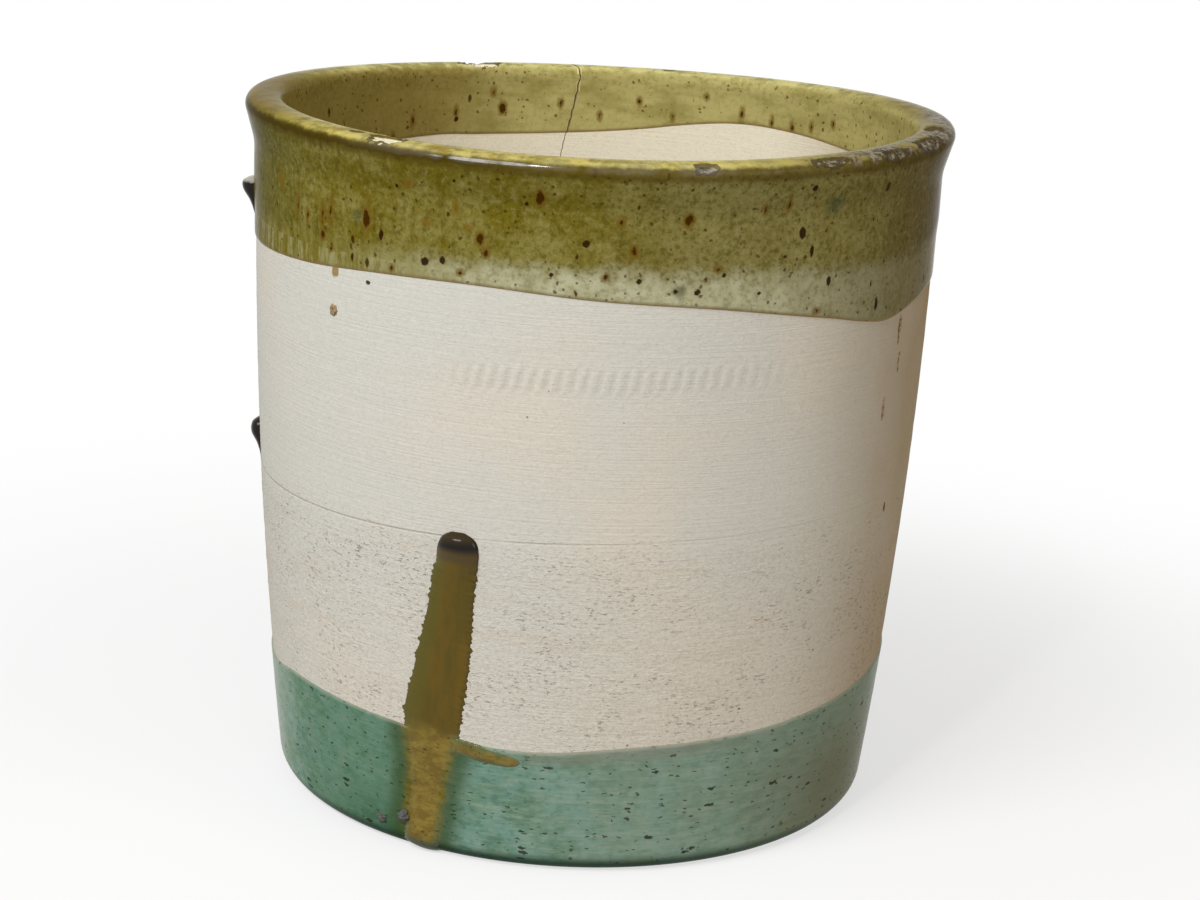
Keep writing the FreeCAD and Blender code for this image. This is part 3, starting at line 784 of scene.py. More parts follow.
def clay_stains(nodes, base, form, place):
    """The base colour with the small stains at the front."""
    x, y, z = nodes.parts(place)
    front = nodes.band(y, 0.0, -0.02)
    for bearing, level, width, span, tint in CLAY_MARKS:
        middle = form.neck_radius * math.sin(math.radians(bearing))
        across = nodes.scaled(x, 2 / (width * MM), -2 * middle / (width * MM))
        rise = nodes.scaled(z, 2 / (span * MM), -2 * level / span)
        squares = nodes.sum("ADD", nodes.sum("POWER", across, 2), nodes.sum("POWER", rise, 2))
        away = nodes.scaled(nodes.cloud(place, 900, 2), 0.8, nodes.sum("SQRT", squares))
        base = nodes.mix(nodes.times(front, nodes.band(away, 1.5, 1.2)), base, tint)
    return base


def bare_clay(form, colours):
    """Matt stoneware with grain, grog pits, drag lines from turning and a toasted side with painted shade on
    it.
    """
    material, nodes, shader = new_material("bare_clay")
    place = nodes.place()
    x, _, z = nodes.parts(place)
    patches = nodes.cloud(place, 13)
    grain = nodes.cloud(place, 900, 3, 0.7)
    drag = nodes.cloud(place, (18, 18, 1500), 3, 0.6)
    bands = nodes.cloud(place, (22, 22, 190), 4, 0.6)
    crumbs = nodes.cloud(place, (420, 420, 640), 5, 0.75)
    low = nodes.band(z, 0.122, 0.1, 0.12, 1)
    flecks = nodes.band(nodes.cloud(place, (480, 480, 1300), 3, 0.6), 0.585, 0.68)
    flecks = nodes.times(flecks, low, nodes.band(nodes.cloud(place, 55), 0.42, 0.6, 0.15, 1))
    # Toasted clay at the right, laid on strongly enough to be painted shade on that side as well
    toasted = nodes.times(nodes.band(x, 0.06, 0.119), nodes.band(patches, 0.2, 0.6, 0.7, 1))
    line = turned_line(nodes, place)
    chatter, hollow_shade = tool_chatter(nodes, place)

    base = nodes.layered(
        colours.clay,
        (nodes.band(patches, 0.45, 0.7), colours.clay_warm),
        (nodes.band(z, 0.12, 0.05, 0, 0.45), colours.clay_warm),
        (nodes.times(nodes.band(bands, 0.48, 0.7), nodes.band(low, 0.1, 1, 0.08, 0.3)), CLAY_BAND),
        # Painted light on the bare clay inside the mouth
        (nodes.times(nodes.band(nodes.reach(place), 0.1105, 0.1095), nodes.band(z, 0.1, 0.15)), CLAY_INSIDE_PAINTED_LIGHT),
        (nodes.times(nodes.band(grain, 0.45, 0.7), nodes.band(low, 0.1, 1, 0.16, 0.3)), CLAY_GRAIN),
        (nodes.band(crumbs, 0.5, 0.7, 0, 0.35), CLAY_CRUMB),
        (toasted, colours.clay_toasted_and_shaded),
        (nodes.times(flecks, 0.5), CLAY_FLECK),
        (nodes.times(nodes.specks(place, 170, 0.22, 0.1, 0.05), 0.7), CLAY_PIT),
        (nodes.times(line, 0.2), CLAY_LINE),
    )
    base = clay_stains(nodes, base, form, place)
    # Painted shade in the troughs of the tool chatter
    base = nodes.mix(hollow_shade, base, CLAY_HOLLOW_SHADE)

    height = nodes.scaled(crumbs, nodes.band(low, 0.1, 1, 0.4, 1.15), chatter)
    for pattern, weight in ((drag, 0.4), (grain, 0.3), (flecks, -0.7), (line, -0.45)):
        height = nodes.scaled(pattern, weight, height)
    nodes.wire(shader, Base_Color=base, Normal=nodes.bump(height, 0.8, 0.0004))
    nodes.wire(shader, Roughness=0.9, Specular_IOR_Level=0.1)
    return material


def iron_and_rust(nodes, base, colours, place, mottled):
    """The base colour with this glaze's own marks, random iron specks and a fine dark grain on it."""
    wobble = nodes.scaled(nodes.cloud(place, 480, 3, 0.6), 1.8, -0.75)
    ragged = nodes.ragged(place, 900, 0.0012)
    tall = nodes.stretch(ragged, (1, 1, 0.55))
    grain = nodes.cloud(place, 520, 5, 0.75)
    amber_depth = nodes.sum("ADD", nodes.mark("amber_depth"), wobble)
    rust_depth = nodes.sum("ADD", nodes.mark("rust_depth"), wobble)
    iron_depth = nodes.scaled(wobble, 0.6, nodes.mark("iron_depth"))
    mottled = nodes.times(nodes.band(nodes.mark("crest_out"), -7, 2, 0.6, 1), mottled)
    return nodes.layered(
        base,
        (nodes.times(nodes.band(grain, 0.47, 0.64), mottled), colours.olive_dark),
        (nodes.times(nodes.band(grain, 0.46, 0.36), mottled, 0.22), colours.celadon),
        (nodes.times(nodes.specks(ragged, 480, 0.5, 0.36, 0.12), 0.7), colours.rust),
        (nodes.times(nodes.specks(tall, 230, 0.16, 0.3, 0.1), 0.9), colours.rust),
        (nodes.band(amber_depth, -0.4, 1.0, 0, 0.7), AMBER_SMUDGE),
        (nodes.band(rust_depth, -1.0, 0.1, 0, 0.75), RUST_HALO),
        (nodes.band(rust_depth, 0.05, 0.6, 0, 0.95), colours.rust),
        (nodes.band(iron_depth, -0.1, 0.3, 0, 0.95), colours.iron),
    )


def green_smudges(nodes, base, place):
    """The base colour with soft grey-green smudges where the marks say."""
    ragged = nodes.scaled(nodes.cloud(place, 260, 2), 2.4, -1.2)
    depth = nodes.sum("ADD", nodes.mark("green_depth"), ragged)
    return nodes.mix(nodes.band(depth, -1.2, 1.6, 0, 0.6), base, GREEN_SMUDGE)


def rim_inside(nodes, base, colours, place, x):
    """The base colour with the thinner glaze of the inside, browner at the left as painted shade."""
    clouds = nodes.cloud(place, (60, 60, 150), 4, 0.6)
    thin = nodes.layered(
        colours.inside_glaze,
        (nodes.band(clouds, 0.38, 0.68, 0, 0.65), colours.olive_light),
        # Painted shade on the inner wall at the left
        (nodes.band(x, -0.02, -0.07, 0, 0.8), INSIDE_LEFT_SHADE),
        (nodes.band(x, 0.05, 0.1, 0, 0.35), INSIDE_RIGHT),
    )
    return nodes.mix(nodes.band(nodes.mark("crest_out"), -3.5, -8), base, thin)


def thin_rim_glaze(nodes, colours, x, clouds, runs, left):
    """The pale colour of a single rim coat, more olive where left says and browner at both sides as painted
    shade.
    """
    return nodes.layered(
        colours.celadon,
        (nodes.band(clouds, 0.35, 0.7, 0, 0.6), CELADON_CLOUD),
        (left, colours.olive_light),
        (nodes.times(nodes.band(runs, 0.42, 0.6), nodes.band(x, -0.05, -0.1, 0, 0.85)), colours.olive),
        # Painted shade at the far left and the right of the single coat
        (nodes.band(x, -0.1, -0.116, 0, 0.7), CELADON_LEFT_SHADE),
        (nodes.band(x, 0.045, 0.11, 0, 0.85), CELADON_RIGHT_SHADE),
    )


def glaze_skin(nodes, shader, base, place):
    """A glassy skin with a slight ripple."""
    ripple = nodes.scaled(nodes.cloud(place, 420, 2), 0.35, nodes.cloud(place, 90, 2))
    nodes.wire(shader, Base_Color=base, Normal=nodes.bump(ripple, 0.3, 0.0006), Roughness=0.14, IOR=1.03)


def single_rim_glaze(colours):
    """The first olive coat, pale and cloudy, with iron specks and a toasted edge."""
    material, nodes, shader = new_material("olive_glaze")
    place = nodes.place()
    x = nodes.parts(place)["X"]
    runs = nodes.cloud(place, (420, 420, 60), 3, 0.6)
    left = nodes.times(nodes.band(runs, 0.3, 0.6, 0.6, 1), nodes.band(x, -0.01, -0.085))
    base = thin_rim_glaze(nodes, colours, x, nodes.cloud(place, 130, 4, 0.6), runs, left)
    base = rim_inside(nodes, base, colours, place, x)
    base = green_smudges(nodes, base, place)
    base = iron_and_rust(nodes, base, colours, place, 0.3)
    edge = nodes.scaled(nodes.cloud(place, 300, 2), 1.2, nodes.mark("from_edge"))
    base = nodes.mix(nodes.band(edge, 2.4, 0.9, 0, 0.8), base, colours.toast)
    glaze_skin(nodes, shader, base, place)
    return material


def worn_lip(nodes, base, colours, place, out):
    """Base colour with a dark line and painted shadow under the lip, painted light on the straw crest, chips
    and wear.

    out is the distance outwards from the crest in millimetres.
    """
    x, y, _ = nodes.parts(place)
    crumbs = nodes.cloud(place, 480, 4, 0.7)
    depth = nodes.scaled(crumbs, 0.3, nodes.mark("chip_depth"))
    rough = nodes.mix(nodes.band(crumbs, 0.42, 0.62), WORN_DARK, WORN_PALE)
    fracture = nodes.mix(nodes.band(x, -0.02, 0.02), FRESH_CHIP, rough)
    streaky = nodes.band(nodes.cloud(place, 160, 4, 0.7), 0.38, 0.6, 0.3, 0.92)
    brown = nodes.band(nodes.cloud(place, (90, 90, 260), 4, 0.7), 0.5, 0.66, 0, 0.75)
    # The straw crest is partly painted light: its brightness stands in for light on the lip's top
    straw = nodes.layered(
        colours.straw,
        (nodes.times(brown, nodes.band(y, 0.03, -0.02)), LIP_BROWN),
        # Painted shade at the left and right ends of the lip
        (nodes.band(x, -0.08, -0.112), LIP_LEFT_SHADE),
        (nodes.band(x, 0.03, 0.09), LIP_RIGHT_SHADE),
        # Painted highlight on the back of the lip
        (nodes.band(y, 0.02, 0.09), LIP_BACK_HIGHLIGHT),
    )
    worn = nodes.times(nodes.band(x, 0.062, 0.09), nodes.band(y, 0.03, 0.0))
    worn = nodes.times(worn, nodes.within(out, -4, -1, 4.5, 7))
    return nodes.layered(
        base,
        # Dark glaze line under the lip, deepened as a painted shadow
        (nodes.times(nodes.within(out, 4.4, 5.4, 7.0, 9.5), 0.75), LIP_LINE_AND_SHADOW),
        (nodes.times(nodes.within(out, 5.0, 5.8, 6.4, 7.4), nodes.band(x, 0.0, -0.05, 0, 0.8)), LIP_SHADE),
        (nodes.times(nodes.within(out, -6.5, -4.0, 4.0, 5.2), streaky), straw),
        (nodes.times(worn, nodes.band(nodes.cloud(place, 150), 0.4, 0.5)), rough),
        (nodes.band(depth, 0.22, 0.36, 0, 0.8), CHIP_EDGE),
        (nodes.band(depth, 0.85, 1.25), fracture),
    )


def double_rim_glaze(colours):
    """The second olive coat: darker, streaked and mottled, breaking to straw over the lip, with painted shade
    at both sides.
    """
    material, nodes, shader = new_material("olive_glaze_double")
    place = nodes.place()
    x = nodes.parts(place)["X"]
    patches = nodes.cloud(place, 130, 4, 0.6)
    runs = nodes.cloud(place, (330, 330, 45), 3, 0.6)
    edge = nodes.scaled(patches, 7.0, nodes.mark("from_edge"))
    out = nodes.scaled(nodes.cloud(place, 220), 1.6, nodes.mark("crest_out"))
    thin = thin_rim_glaze(nodes, colours, x, patches, runs, nodes.band(x, -0.01, -0.085))
    base = nodes.layered(
        colours.olive,
        (nodes.band(nodes.cloud(place, 75, 4, 0.6), 0.38, 0.68), colours.olive_light),
        (nodes.band(nodes.cloud(place, (25, 25, 420), 3, 0.6), 0.5, 0.75, 0, 0.35), colours.olive_light),
        (nodes.band(x, -0.01, 0.04, 0, 0.45), OLIVE_RIGHT),
        (nodes.times(nodes.band(runs, 0.55, 0.72), nodes.band(x, 0.0, -0.1, 0.05, 0.5)), colours.rust),
        (nodes.band(x, -0.085, -0.105, 0, 0.5), OLIVE_LEFT),
        # Painted shade at the far left and far right edges of the double coat
        (nodes.band(x, -0.1, -0.118, 0, 0.75), OLIVE_FAR_LEFT_SHADE),
        (nodes.band(x, 0.07, 0.12, 0, 0.8), OLIVE_FAR_RIGHT_SHADE),
        (nodes.band(edge, 12, 5), thin),
    )
    base = rim_inside(nodes, base, colours, place, x)
    base = green_smudges(nodes, base, place)
    base = iron_and_rust(nodes, base, colours, place, nodes.band(edge, 5, 14, 0.3, 0.65))
    base = worn_lip(nodes, base, colours, place, out)
    glassy = nodes.times(nodes.within(out, 2.8, 3.8, 5.8, 6.8), nodes.within(x, -0.085, -0.05, 0.03, 0.07))
    glassy = nodes.times(glassy, nodes.band(nodes.cloud(place, 70), 0.36, 0.5))
    nodes.wire(shader, Coat_Weight=glassy, Coat_Roughness=0.12)
    glaze_skin(nodes, shader, base, place)
    return material


def green_with_stain(nodes, colours, place):
    """The colour and the pits of the foot glaze, with the amber that the front run has soaked into it."""
    x, _, z = nodes.parts(place)
    clouds = nodes.cloud(place, 60, 4, 0.6)
    mottle = nodes.cloud(place, (190, 190, 330), 5, 0.7)
    streaks = nodes.cloud(place, (45, 45, 420), 4, 0.6)
    scratches = nodes.cloud(place, (90, 90, 1100), 4, 0.65)
    flat = nodes.stretch(nodes.ragged(place, 700, 0.002), (1, 1, 2.6))
    pinholes = nodes.specks(flat, 390, 0.3, 0.42, 0.12)
    pits = nodes.specks(flat, 150, 0.3, 0.32, 0.08)
    pool = nodes.band(nodes.sum("ABSOLUTE", nodes.sum("ADD", x, 0.058)), 0.022, 0.006)
    pool = nodes.times(pool, nodes.band(z, 0.024, 0.006), nodes.band(mottle, 0.4, 0.55, 0.3, 0.9))
    # Olive-grey glaze at the right, darkened further as painted shade
    right = nodes.times(nodes.band(x, 0.045, 0.095, 0, 0.85), nodes.band(z, 0.045, 0.02, 0.55, 1))
    soaked = nodes.sum("ADD", nodes.mark("stain_depth"), nodes.scaled(nodes.cloud(place, 120), 5.0, -2.5))
    ochre = nodes.mix(nodes.band(mottle, 0.4, 0.62), OCHRE_DARK, OCHRE_PALE)
    base = nodes.layered(
        colours.green,
        (nodes.band(clouds, 0.38, 0.62), colours.teal),
        (nodes.band(streaks, 0.5, 0.72, 0, 0.45), colours.mist),
        (nodes.band(scratches, 0.52, 0.7, 0, 0.4), colours.mist),
        (nodes.band(scratches, 0.46, 0.3, 0, 0.35), GREEN_SCRATCH),
        (nodes.band(mottle, 0.5, 0.66, 0, 0.4), colours.mist),
        (nodes.band(mottle, 0.49, 0.36, 0, 0.45), GREEN_MOTTLE),
        (pool, GREEN_POOL),
        (nodes.times(nodes.within(x, -0.095, -0.08, -0.06, -0.04), 0.5), GREEN_LEFT),
        # Painted sheen at the far left edge of the foot glaze
        (nodes.band(x, -0.088, -0.104, 0, 0.4), GREEN_FAR_LEFT_SHEEN),
        (nodes.band(x, -0.03, 0.03, 0, 0.35), GREEN_MIDDLE),
        (right, GREEN_RIGHT_AND_SHADE),
        (nodes.band(soaked, -8, -1, 0, 0.75), STAIN_HALO),
        (nodes.band(soaked, -1.2, 4.2), ochre),
        (nodes.times(pinholes, 0.75), PINHOLE),
        (nodes.times(pits, 0.85), PIT),
        (nodes.band(z, 0.0065, 0.0025, 0, 0.8), GREEN_FOOT),
    )
    height = nodes.times(streaks, 0.4)
    for pattern, weight in ((scratches, 0.7), (pinholes, -1.0), (pits, -1.2)):
        height = nodes.scaled(pattern, weight, height)
    return base, height


def foot_glaze_material(colours):
    """The green foot coat: cloudy, streaked round the pot, with pinholes and dark pits."""
    material, nodes, shader = new_material("green_glaze")
    place = nodes.place()
    x = nodes.parts(place)["X"]
    base, height = green_with_stain(nodes, colours, place)
    edge = nodes.scaled(nodes.cloud(place, 300, 2), 0.9, nodes.mark("from_edge"))
    base = nodes.layered(
        base,
        (nodes.times(nodes.band(edge, 7, 3), nodes.within(x, -0.03, 0.0, 0.03, 0.08), 0.55), GREEN_STRIP),
        (nodes.band(edge, 2.0, 0.7, 0, 0.5), GREEN_EDGE),
    )
    nodes.wire(shader, Base_Color=base, Normal=nodes.bump(height, 0.45, 0.0004), Roughness=0.2, IOR=1.05)
    return material


def amber_glaze(colours):
    """Glassy amber runs, greener at one thin side and almost black in the bead at their tip."""
    material, nodes, shader = new_material("amber_glaze")
    place = nodes.place()
    x, _, z = nodes.parts(place)
    side, tip = nodes.mark("side"), nodes.mark("tip")
    green, _ = green_with_stain(nodes, colours, place)
    low = nodes.scaled(nodes.cloud(place, 140), 0.012, z)
    base = nodes.layered(
        colours.amber,
        (nodes.band(nodes.cloud(place, (200, 200, 50), 4, 0.6), 0.35, 0.65), AMBER_STREAK),
        (nodes.band(side, -0.2, -0.6, 0, 0.7), AMBER_GREEN),
        (nodes.band(nodes.sum("ABSOLUTE", side), 0.82, 1.0, 0, 0.45), AMBER_EDGE),
        (nodes.band(tip, 11, 8, 0, 0.85), BEAD_FOOT),
        (nodes.band(tip, 7.2, 4.0), colours.amber_dark),
        (nodes.band(tip, 4.2, 0.8, 0, 0.8), BEAD_TOP),
        (nodes.times(nodes.band(tip, 14, 9), nodes.band(x, -0.08, -0.1)), colours.amber_dark),
        # Painted highlight on the pale cap of the high bead
        (nodes.times(nodes.band(tip, 2.4, 1.2), nodes.band(z, 0.15, 0.19), 0.85), BEAD_CAP_HIGHLIGHT),
        (nodes.band(low, 0.055, 0.046), green),
    )
    skin = nodes.bump(nodes.cloud(place, 240, 2), 0.12, 0.0004)
    nodes.wire(shader, Base_Color=base, Normal=skin, Roughness=0.07, IOR=1.3)
    return material


def spot_glaze():
    """Thin tan drops on the bare wall."""
    material, nodes, shader = new_material("amber_spots")
    clouds = nodes.cloud(nodes.place(), 900)
    base = nodes.mix(nodes.band(clouds, 0.4, 0.6), SPOT_DARK, SPOT_PALE)
    nodes.wire(shader, Base_Color=base, Roughness=0.3)
    return material


def grit_material(colours):
    """Rough grey kiln grit."""
    material, nodes, shader = new_material("kiln_grit")
    grain = nodes.cloud(nodes.place(), 900, 4, 0.7)
    base = nodes.mix(nodes.band(grain, 0.35, 0.65), GRIT_DARK, colours.grit)
    nodes.wire(shader, Base_Color=base, Normal=nodes.bump(grain, 0.9, 0.0006), Roughness=0.75)
    return material


def rounded_edge(form, thickness, taper):
    """A coat's height off the clay by the distance from its edge, which turns into the clay in a round."""

    def lift_at(edge):
        rise = min(1, edge / taper)
        return (thickness + form.coat_root) * math.sqrt(rise * (2 - rise)) - form.coat_root

    return lift_at


def feathered_edge(form, taper):
    """The second coat's height off the clay by the distance from its edge, which thins out on the first."""

    def lift_at(edge):
        rise = min(1, edge / taper)
        return form.first_coat - 0.04 * MM + form.second_coat * rise * rise * (3 - 2 * rise)

    return lift_at


def coat_ring(surface, span, lift_at, stops, marks):
    """A coat between the two edges that span gives: rows 0 to 1 are its face, 1 to 2 its hidden side."""

    def place(bearing, row):
        start, end = span(bearing)
        if row > 1:
            return surface.place(bearing, end + (start - end) * (row - 1), -surface.form.coat_root)
        along = start + (end - start) * row
        return surface.place(bearing, along, lift_at(min(along - start, end - along)))

    return thrown_ring(stops, surface.form.columns, place, marks)


def rim_coat(surface, outer_edge, inner_edge, lift_at, rows):
    """A coat over the lip, with attributes for its edges, crest, chips and marks, in millimetres."""
    outer, inner = edge_curve(outer_edge), edge_curve(inner_edge)

    @functools.cache
    def span(bearing):
        return surface.outside(outer(bearing)), surface.inside(inner(bearing))

    def along(bearing, row):
        start, end = span(bearing)
        return start + (end - start) * min(row, 2 - row)

    def from_edge(bearing, row, _):
        start, end = span(bearing)
        share = row if row <= 1 else 2 - row
        return (end - start) * min(share, 1 - share) / MM

    def chip_depth(bearing, row, _):
        return surface.chip(bearing, along(bearing, row)) / MM

    def crest_out(bearing, row, _):
        return (surface.crest - along(bearing, row)) / MM

    def at_level(field):
        return lambda bearing, row, point: field(bearing, point.z, point.xy.length) if row <= 1 else 0

    marks = {"from_edge": from_edge, "chip_depth": chip_depth, "crest_out": crest_out}
    tables = {"iron": IRON_MARKS, "rust": RUST_MARKS, "amber": AMBER_MARKS, "green": GREEN_MARKS}
    marks.update({f"{name}_depth": at_level(mark_field(table)) for name, table in tables.items()})
    return coat_ring(surface, span, lift_at, ((0, rows), (1, 10), (2, 0)), marks)


def stain_from(half_width, away):
    """How deep a place lies in the amber stain, in millimetres, this far from the middle of the run."""
    return half_width + 0.2 - away


def run_patch(bm, surface, stations, rows, columns, base_lift, ragged):
    """Lays a run of glaze on the wall: a grid follows the route, and its rim turns into the wall."""
    turns = [math.radians(bearing) for bearing, _, _, _ in stations]
    steps = [0.0]
    for start, end in zip(stations, stations[1:]):
        across = math.radians(end[0] - start[0]) * surface.form.neck_radius / MM
        steps.append(steps[-1] + math.hypot(across, end[1] - start[1]))
    bearing_at = smooth_curve(steps, turns)
    level_at = smooth_curve(steps, [level for _, level, _, _ in stations])
    width_at = smooth_curve(steps, [width for _, _, width, _ in stations])
    swell_at = smooth_curve(steps, [swell for _, _, _, swell in stations])
    floats = bm.verts.layers.float
    layers = {name: floats.get(name) or floats.new(name) for name in RUN_MARKS}
    verts = bmesh.ops.create_grid(bm, x_segments=columns, y_segments=rows, size=1)["verts"]
    faces = {face for vert in verts for face in vert.link_faces}
    for vert in verts:
        side, step = vert.co.x, (vert.co.y + 1) / 2 * steps[-1]
        level, width = level_at(step) * MM, width_at(step) * MM
        ahead = min(step + 0.5, steps[-1])
        rise = (level_at(ahead) - level_at(ahead - 1)) * MM
        turn = (bearing_at(ahead) - bearing_at(ahead - 1)) * surface.form.neck_radius
        way = Vector((turn, rise)).normalized()
        teeth = noise.noise(Vector((math.copysign(7, side), step * 0.9, turns[0] * 9)))
        teeth += 0.6 * noise.noise(Vector((math.copysign(3, side), step * 2.1, turns[0] * 5)))
        calm = min(max((steps[-1] - step - 9) / 4, 0), 1) * ragged
        half = width + calm * MM * max(teeth, -0.25) * (1 if abs(side) > 0.01 else 0)
        across = Vector((way.y, -way.x)) * side * half
        swell = swell_at(step) * MM * (1 - side ** 2) ** 0.5
        close = min(1, step / 1.5, (steps[-1] - step) / 1.5)
        lift = base_lift(level) + swell * math.sqrt(max(close * (2 - close), 0)) - 0.15 * MM
        bearing = bearing_at(step) + across.x / surface.form.neck_radius
        vert.co = surface.place(bearing, surface.outside(max(level + across.y, 0.4 * MM)), lift)
        vert[layers["side"]] = side
        vert[layers["tip"]] = steps[-1] - step
        vert[layers["stain_depth"]] = stain_from(width / MM, abs(side) * half / MM)
    rim = [edge for face in faces for edge in face.edges if edge.is_boundary]
    sunk = bmesh.ops.extrude_edge_only(bm, edges=list(set(rim)))["geom"]
    for vert in (item for item in sunk if isinstance(item, bmesh.types.BMVert)):
        vert.co -= Vector((vert.co.x, vert.co.y, 0)).normalized() * 1.2 * MM
    bmesh.ops.edgeloop_fill(bm, edges=[item for item in sunk if isinstance(item, bmesh.types.BMEdge)])


def drop(bm, surface, bearing, level, width, span, swell, roughness, base_lift):
    """A drop or grain on the wall: a ball pressed flat, with an uneven skin."""
    turn = math.radians(bearing)
    verts = bmesh.ops.create_icosphere(bm, subdivisions=4, radius=1)["verts"]
    for vert in verts:
        uneven = 1 + roughness * noise.noise(vert.co * 2.3 + Vector((bearing, level, 0)))
        side, out, up = vert.co.x * uneven, -vert.co.y * uneven, vert.co.z * uneven
        along = surface.outside(level * MM + up * span / 2 * MM)
        away = turn + side * width / 2 * MM / surface.form.neck_radius
        vert.co = surface.place(away, along, base_lift + out * swell * MM)


class FLOWERPOT_OT_clay_body(bpy.types.Operator):
    """Throw the clay body: foot ring, wall, lip, inside and drain hole"""

    bl_idname = "flowerpot.clay_body"
    bl_label = "Clay Body"

    def execute(self, context):
        form = form_of(context)
        surface = PotSurface(form)
        ring_start = surface.base - form.ring_width
        stops = (
            (0, 6), (ring_start - 4 * MM, 3), (ring_start + 2 * MM, 2), (surface.base, 7),
            (surface.outside(9 * MM), 46), (surface.outside(form.height - 18 * MM), 18),
            (surface.inside(form.height - 8 * MM), 24), (surface.inside(40 * MM), 6), (surface.floor, 8),
            (surface.total - form.floor_level, 4), (surface.total, 0),
        )
        bm = thrown_ring(stops, form.columns, surface.place)
        piece = finish_piece(bm, "pot_clay_body", "clay_body", bare_clay(form, colours_of(context)))
        crack_open(piece, surface)
        return {"FINISHED"}


class FLOWERPOT_OT_rim_glaze(bpy.types.Operator):
    """Dip the rim: the first olive coat and the shorter second coat over it"""

    bl_idname = "flowerpot.rim_glaze"
    bl_label = "Rim Glaze"

    def execute(self, context):
        form, colours = form_of(context), colours_of(context)
        surface = PotSurface(form)
        coats = (
            ("pot_rim_first_coat", "rim_glaze_first_coat", RIM_COAT_EDGE, RIM_COAT_INNER_EDGE,
             rounded_edge(form, form.first_coat, 1.1 * MM), 96, single_rim_glaze),
            ("pot_rim_second_coat", "rim_glaze_second_coat", SECOND_COAT_EDGE, SECOND_COAT_INNER_EDGE,
             feathered_edge(form, 10 * MM), 84, double_rim_glaze),
        )
        for name, node, outer_edge, inner_edge, lift_at, rows, material in coats:
            bm = rim_coat(surface, outer_edge, inner_edge, lift_at, rows)
            piece = finish_piece(bm, name, node, material(colours))
            crack_open(piece, surface)
        return {"FINISHED"}


class FLOWERPOT_OT_foot_glaze(bpy.types.Operator):
    """Dip the foot in the green glaze"""

    bl_idname = "flowerpot.foot_glaze"
    bl_label = "Foot Glaze"

    def execute(self, context):
        form, colours = form_of(context), colours_of(context)
        surface = PotSurface(form)
        edge = edge_curve(FOOT_COAT_EDGE)
        start = surface.outside(form.foot_clearance)

        @functools.cache
        def span(bearing):
            return start, surface.outside(edge(bearing))

        def from_edge(bearing, row, _):
            return (span(bearing)[1] - start) * (1 - (row if row <= 1 else 2 - row)) / MM

        levels = [level for _, level, _, _ in FRONT_RUN]
        middle = smooth_curve(levels, [math.radians(bearing) for bearing, _, _, _ in FRONT_RUN])
        width = smooth_curve(levels, [width for _, _, width, _ in FRONT_RUN])

        def stain_depth(bearing, _, point):
            level = point.z / MM
            return stain_from(width(level), abs(bearing - middle(level)) * form.foot_radius / MM)

        marks = {"from_edge": from_edge, "stain_depth": stain_depth}
        lift_at = rounded_edge(form, form.foot_coat, 1.0 * MM)
        bm = coat_ring(surface, span, lift_at, ((0, 60), (1, 8), (2, 0)), marks)
        finish_piece(bm, "pot_foot_glaze", "foot_glaze", foot_glaze_material(colours))
        return {"FINISHED"}


class FLOWERPOT_OT_runs(bpy.types.Operator):
    """Run the amber glaze up the wall, at the front and twice at the left"""

    bl_idname = "flowerpot.runs"
    bl_label = "Glaze Runs"

    def execute(self, context):
        form = form_of(context)
        surface = PotSurface(form)
        material = amber_glaze(colours_of(context))
        foot_edge, rim_edge = edge_curve(FOOT_COAT_EDGE), edge_curve(RIM_COAT_EDGE)
        runs = (
            ("pot_front_drip", "front_drip", (FRONT_RUN, FRONT_TONGUE)),
            ("pot_left_high_drip", "left_high_drip", (HIGH_RUN,)),
            ("pot_left_low_drip", "left_low_drip", (LOW_RUN,)),
        )
        for name, node, routes in runs:
            bm = bmesh.new()
            for route in routes:
                turn = math.radians(route[len(route) // 2][0])

                def base_lift(level):
                    on_foot = min(max((foot_edge(turn) - level) / (3 * MM), 0), 1)
                    on_rim = min(max((level - rim_edge(turn)) / (3 * MM), 0), 1)
                    return on_foot * (form.foot_coat - 0.35 * MM) + on_rim * form.first_coat

                run_patch(bm, surface, route, 300, 32, base_lift, 1.1 if route[0][1] < 10 else 0.2)
            bmesh.ops.recalc_face_normals(bm, faces=bm.faces[:])
            finish_piece(bm, name, node, material)
        return {"FINISHED"}


class FLOWERPOT_OT_wall_spots(bpy.types.Operator):
    """Splash small drops of glaze on the bare wall"""

    bl_idname = "flowerpot.wall_spots"
    bl_label = "Glaze Spots"

    def execute(self, context):
        surface = PotSurface(form_of(context))
        bm = bmesh.new()
        for bearing, level, width, span, swell in WALL_DROPS:
            drop(bm, surface, bearing, level, width, span, swell, 0.35, 0.0)
        finish_piece(bm, "pot_wall_spots", "wall_glaze_spots", spot_glaze())
        return {"FINISHED"}


class FLOWERPOT_OT_kiln_grit(bpy.types.Operator):
    """Stick grains of kiln grit in the foot glaze"""

    bl_idname = "flowerpot.kiln_grit"
    bl_label = "Kiln Grit"

    def execute(self, context):
        form = form_of(context)
        surface = PotSurface(form)
        bm = bmesh.new()
        for bearing, level, width, span, swell in GRIT_GRAINS:
            drop(bm, surface, bearing, level, width, span, swell, 0.5, form.foot_coat)
        finish_piece(bm, "pot_kiln_grit", "kiln_grit", grit_material(colours_of(context)))
        return {"FINISHED"}


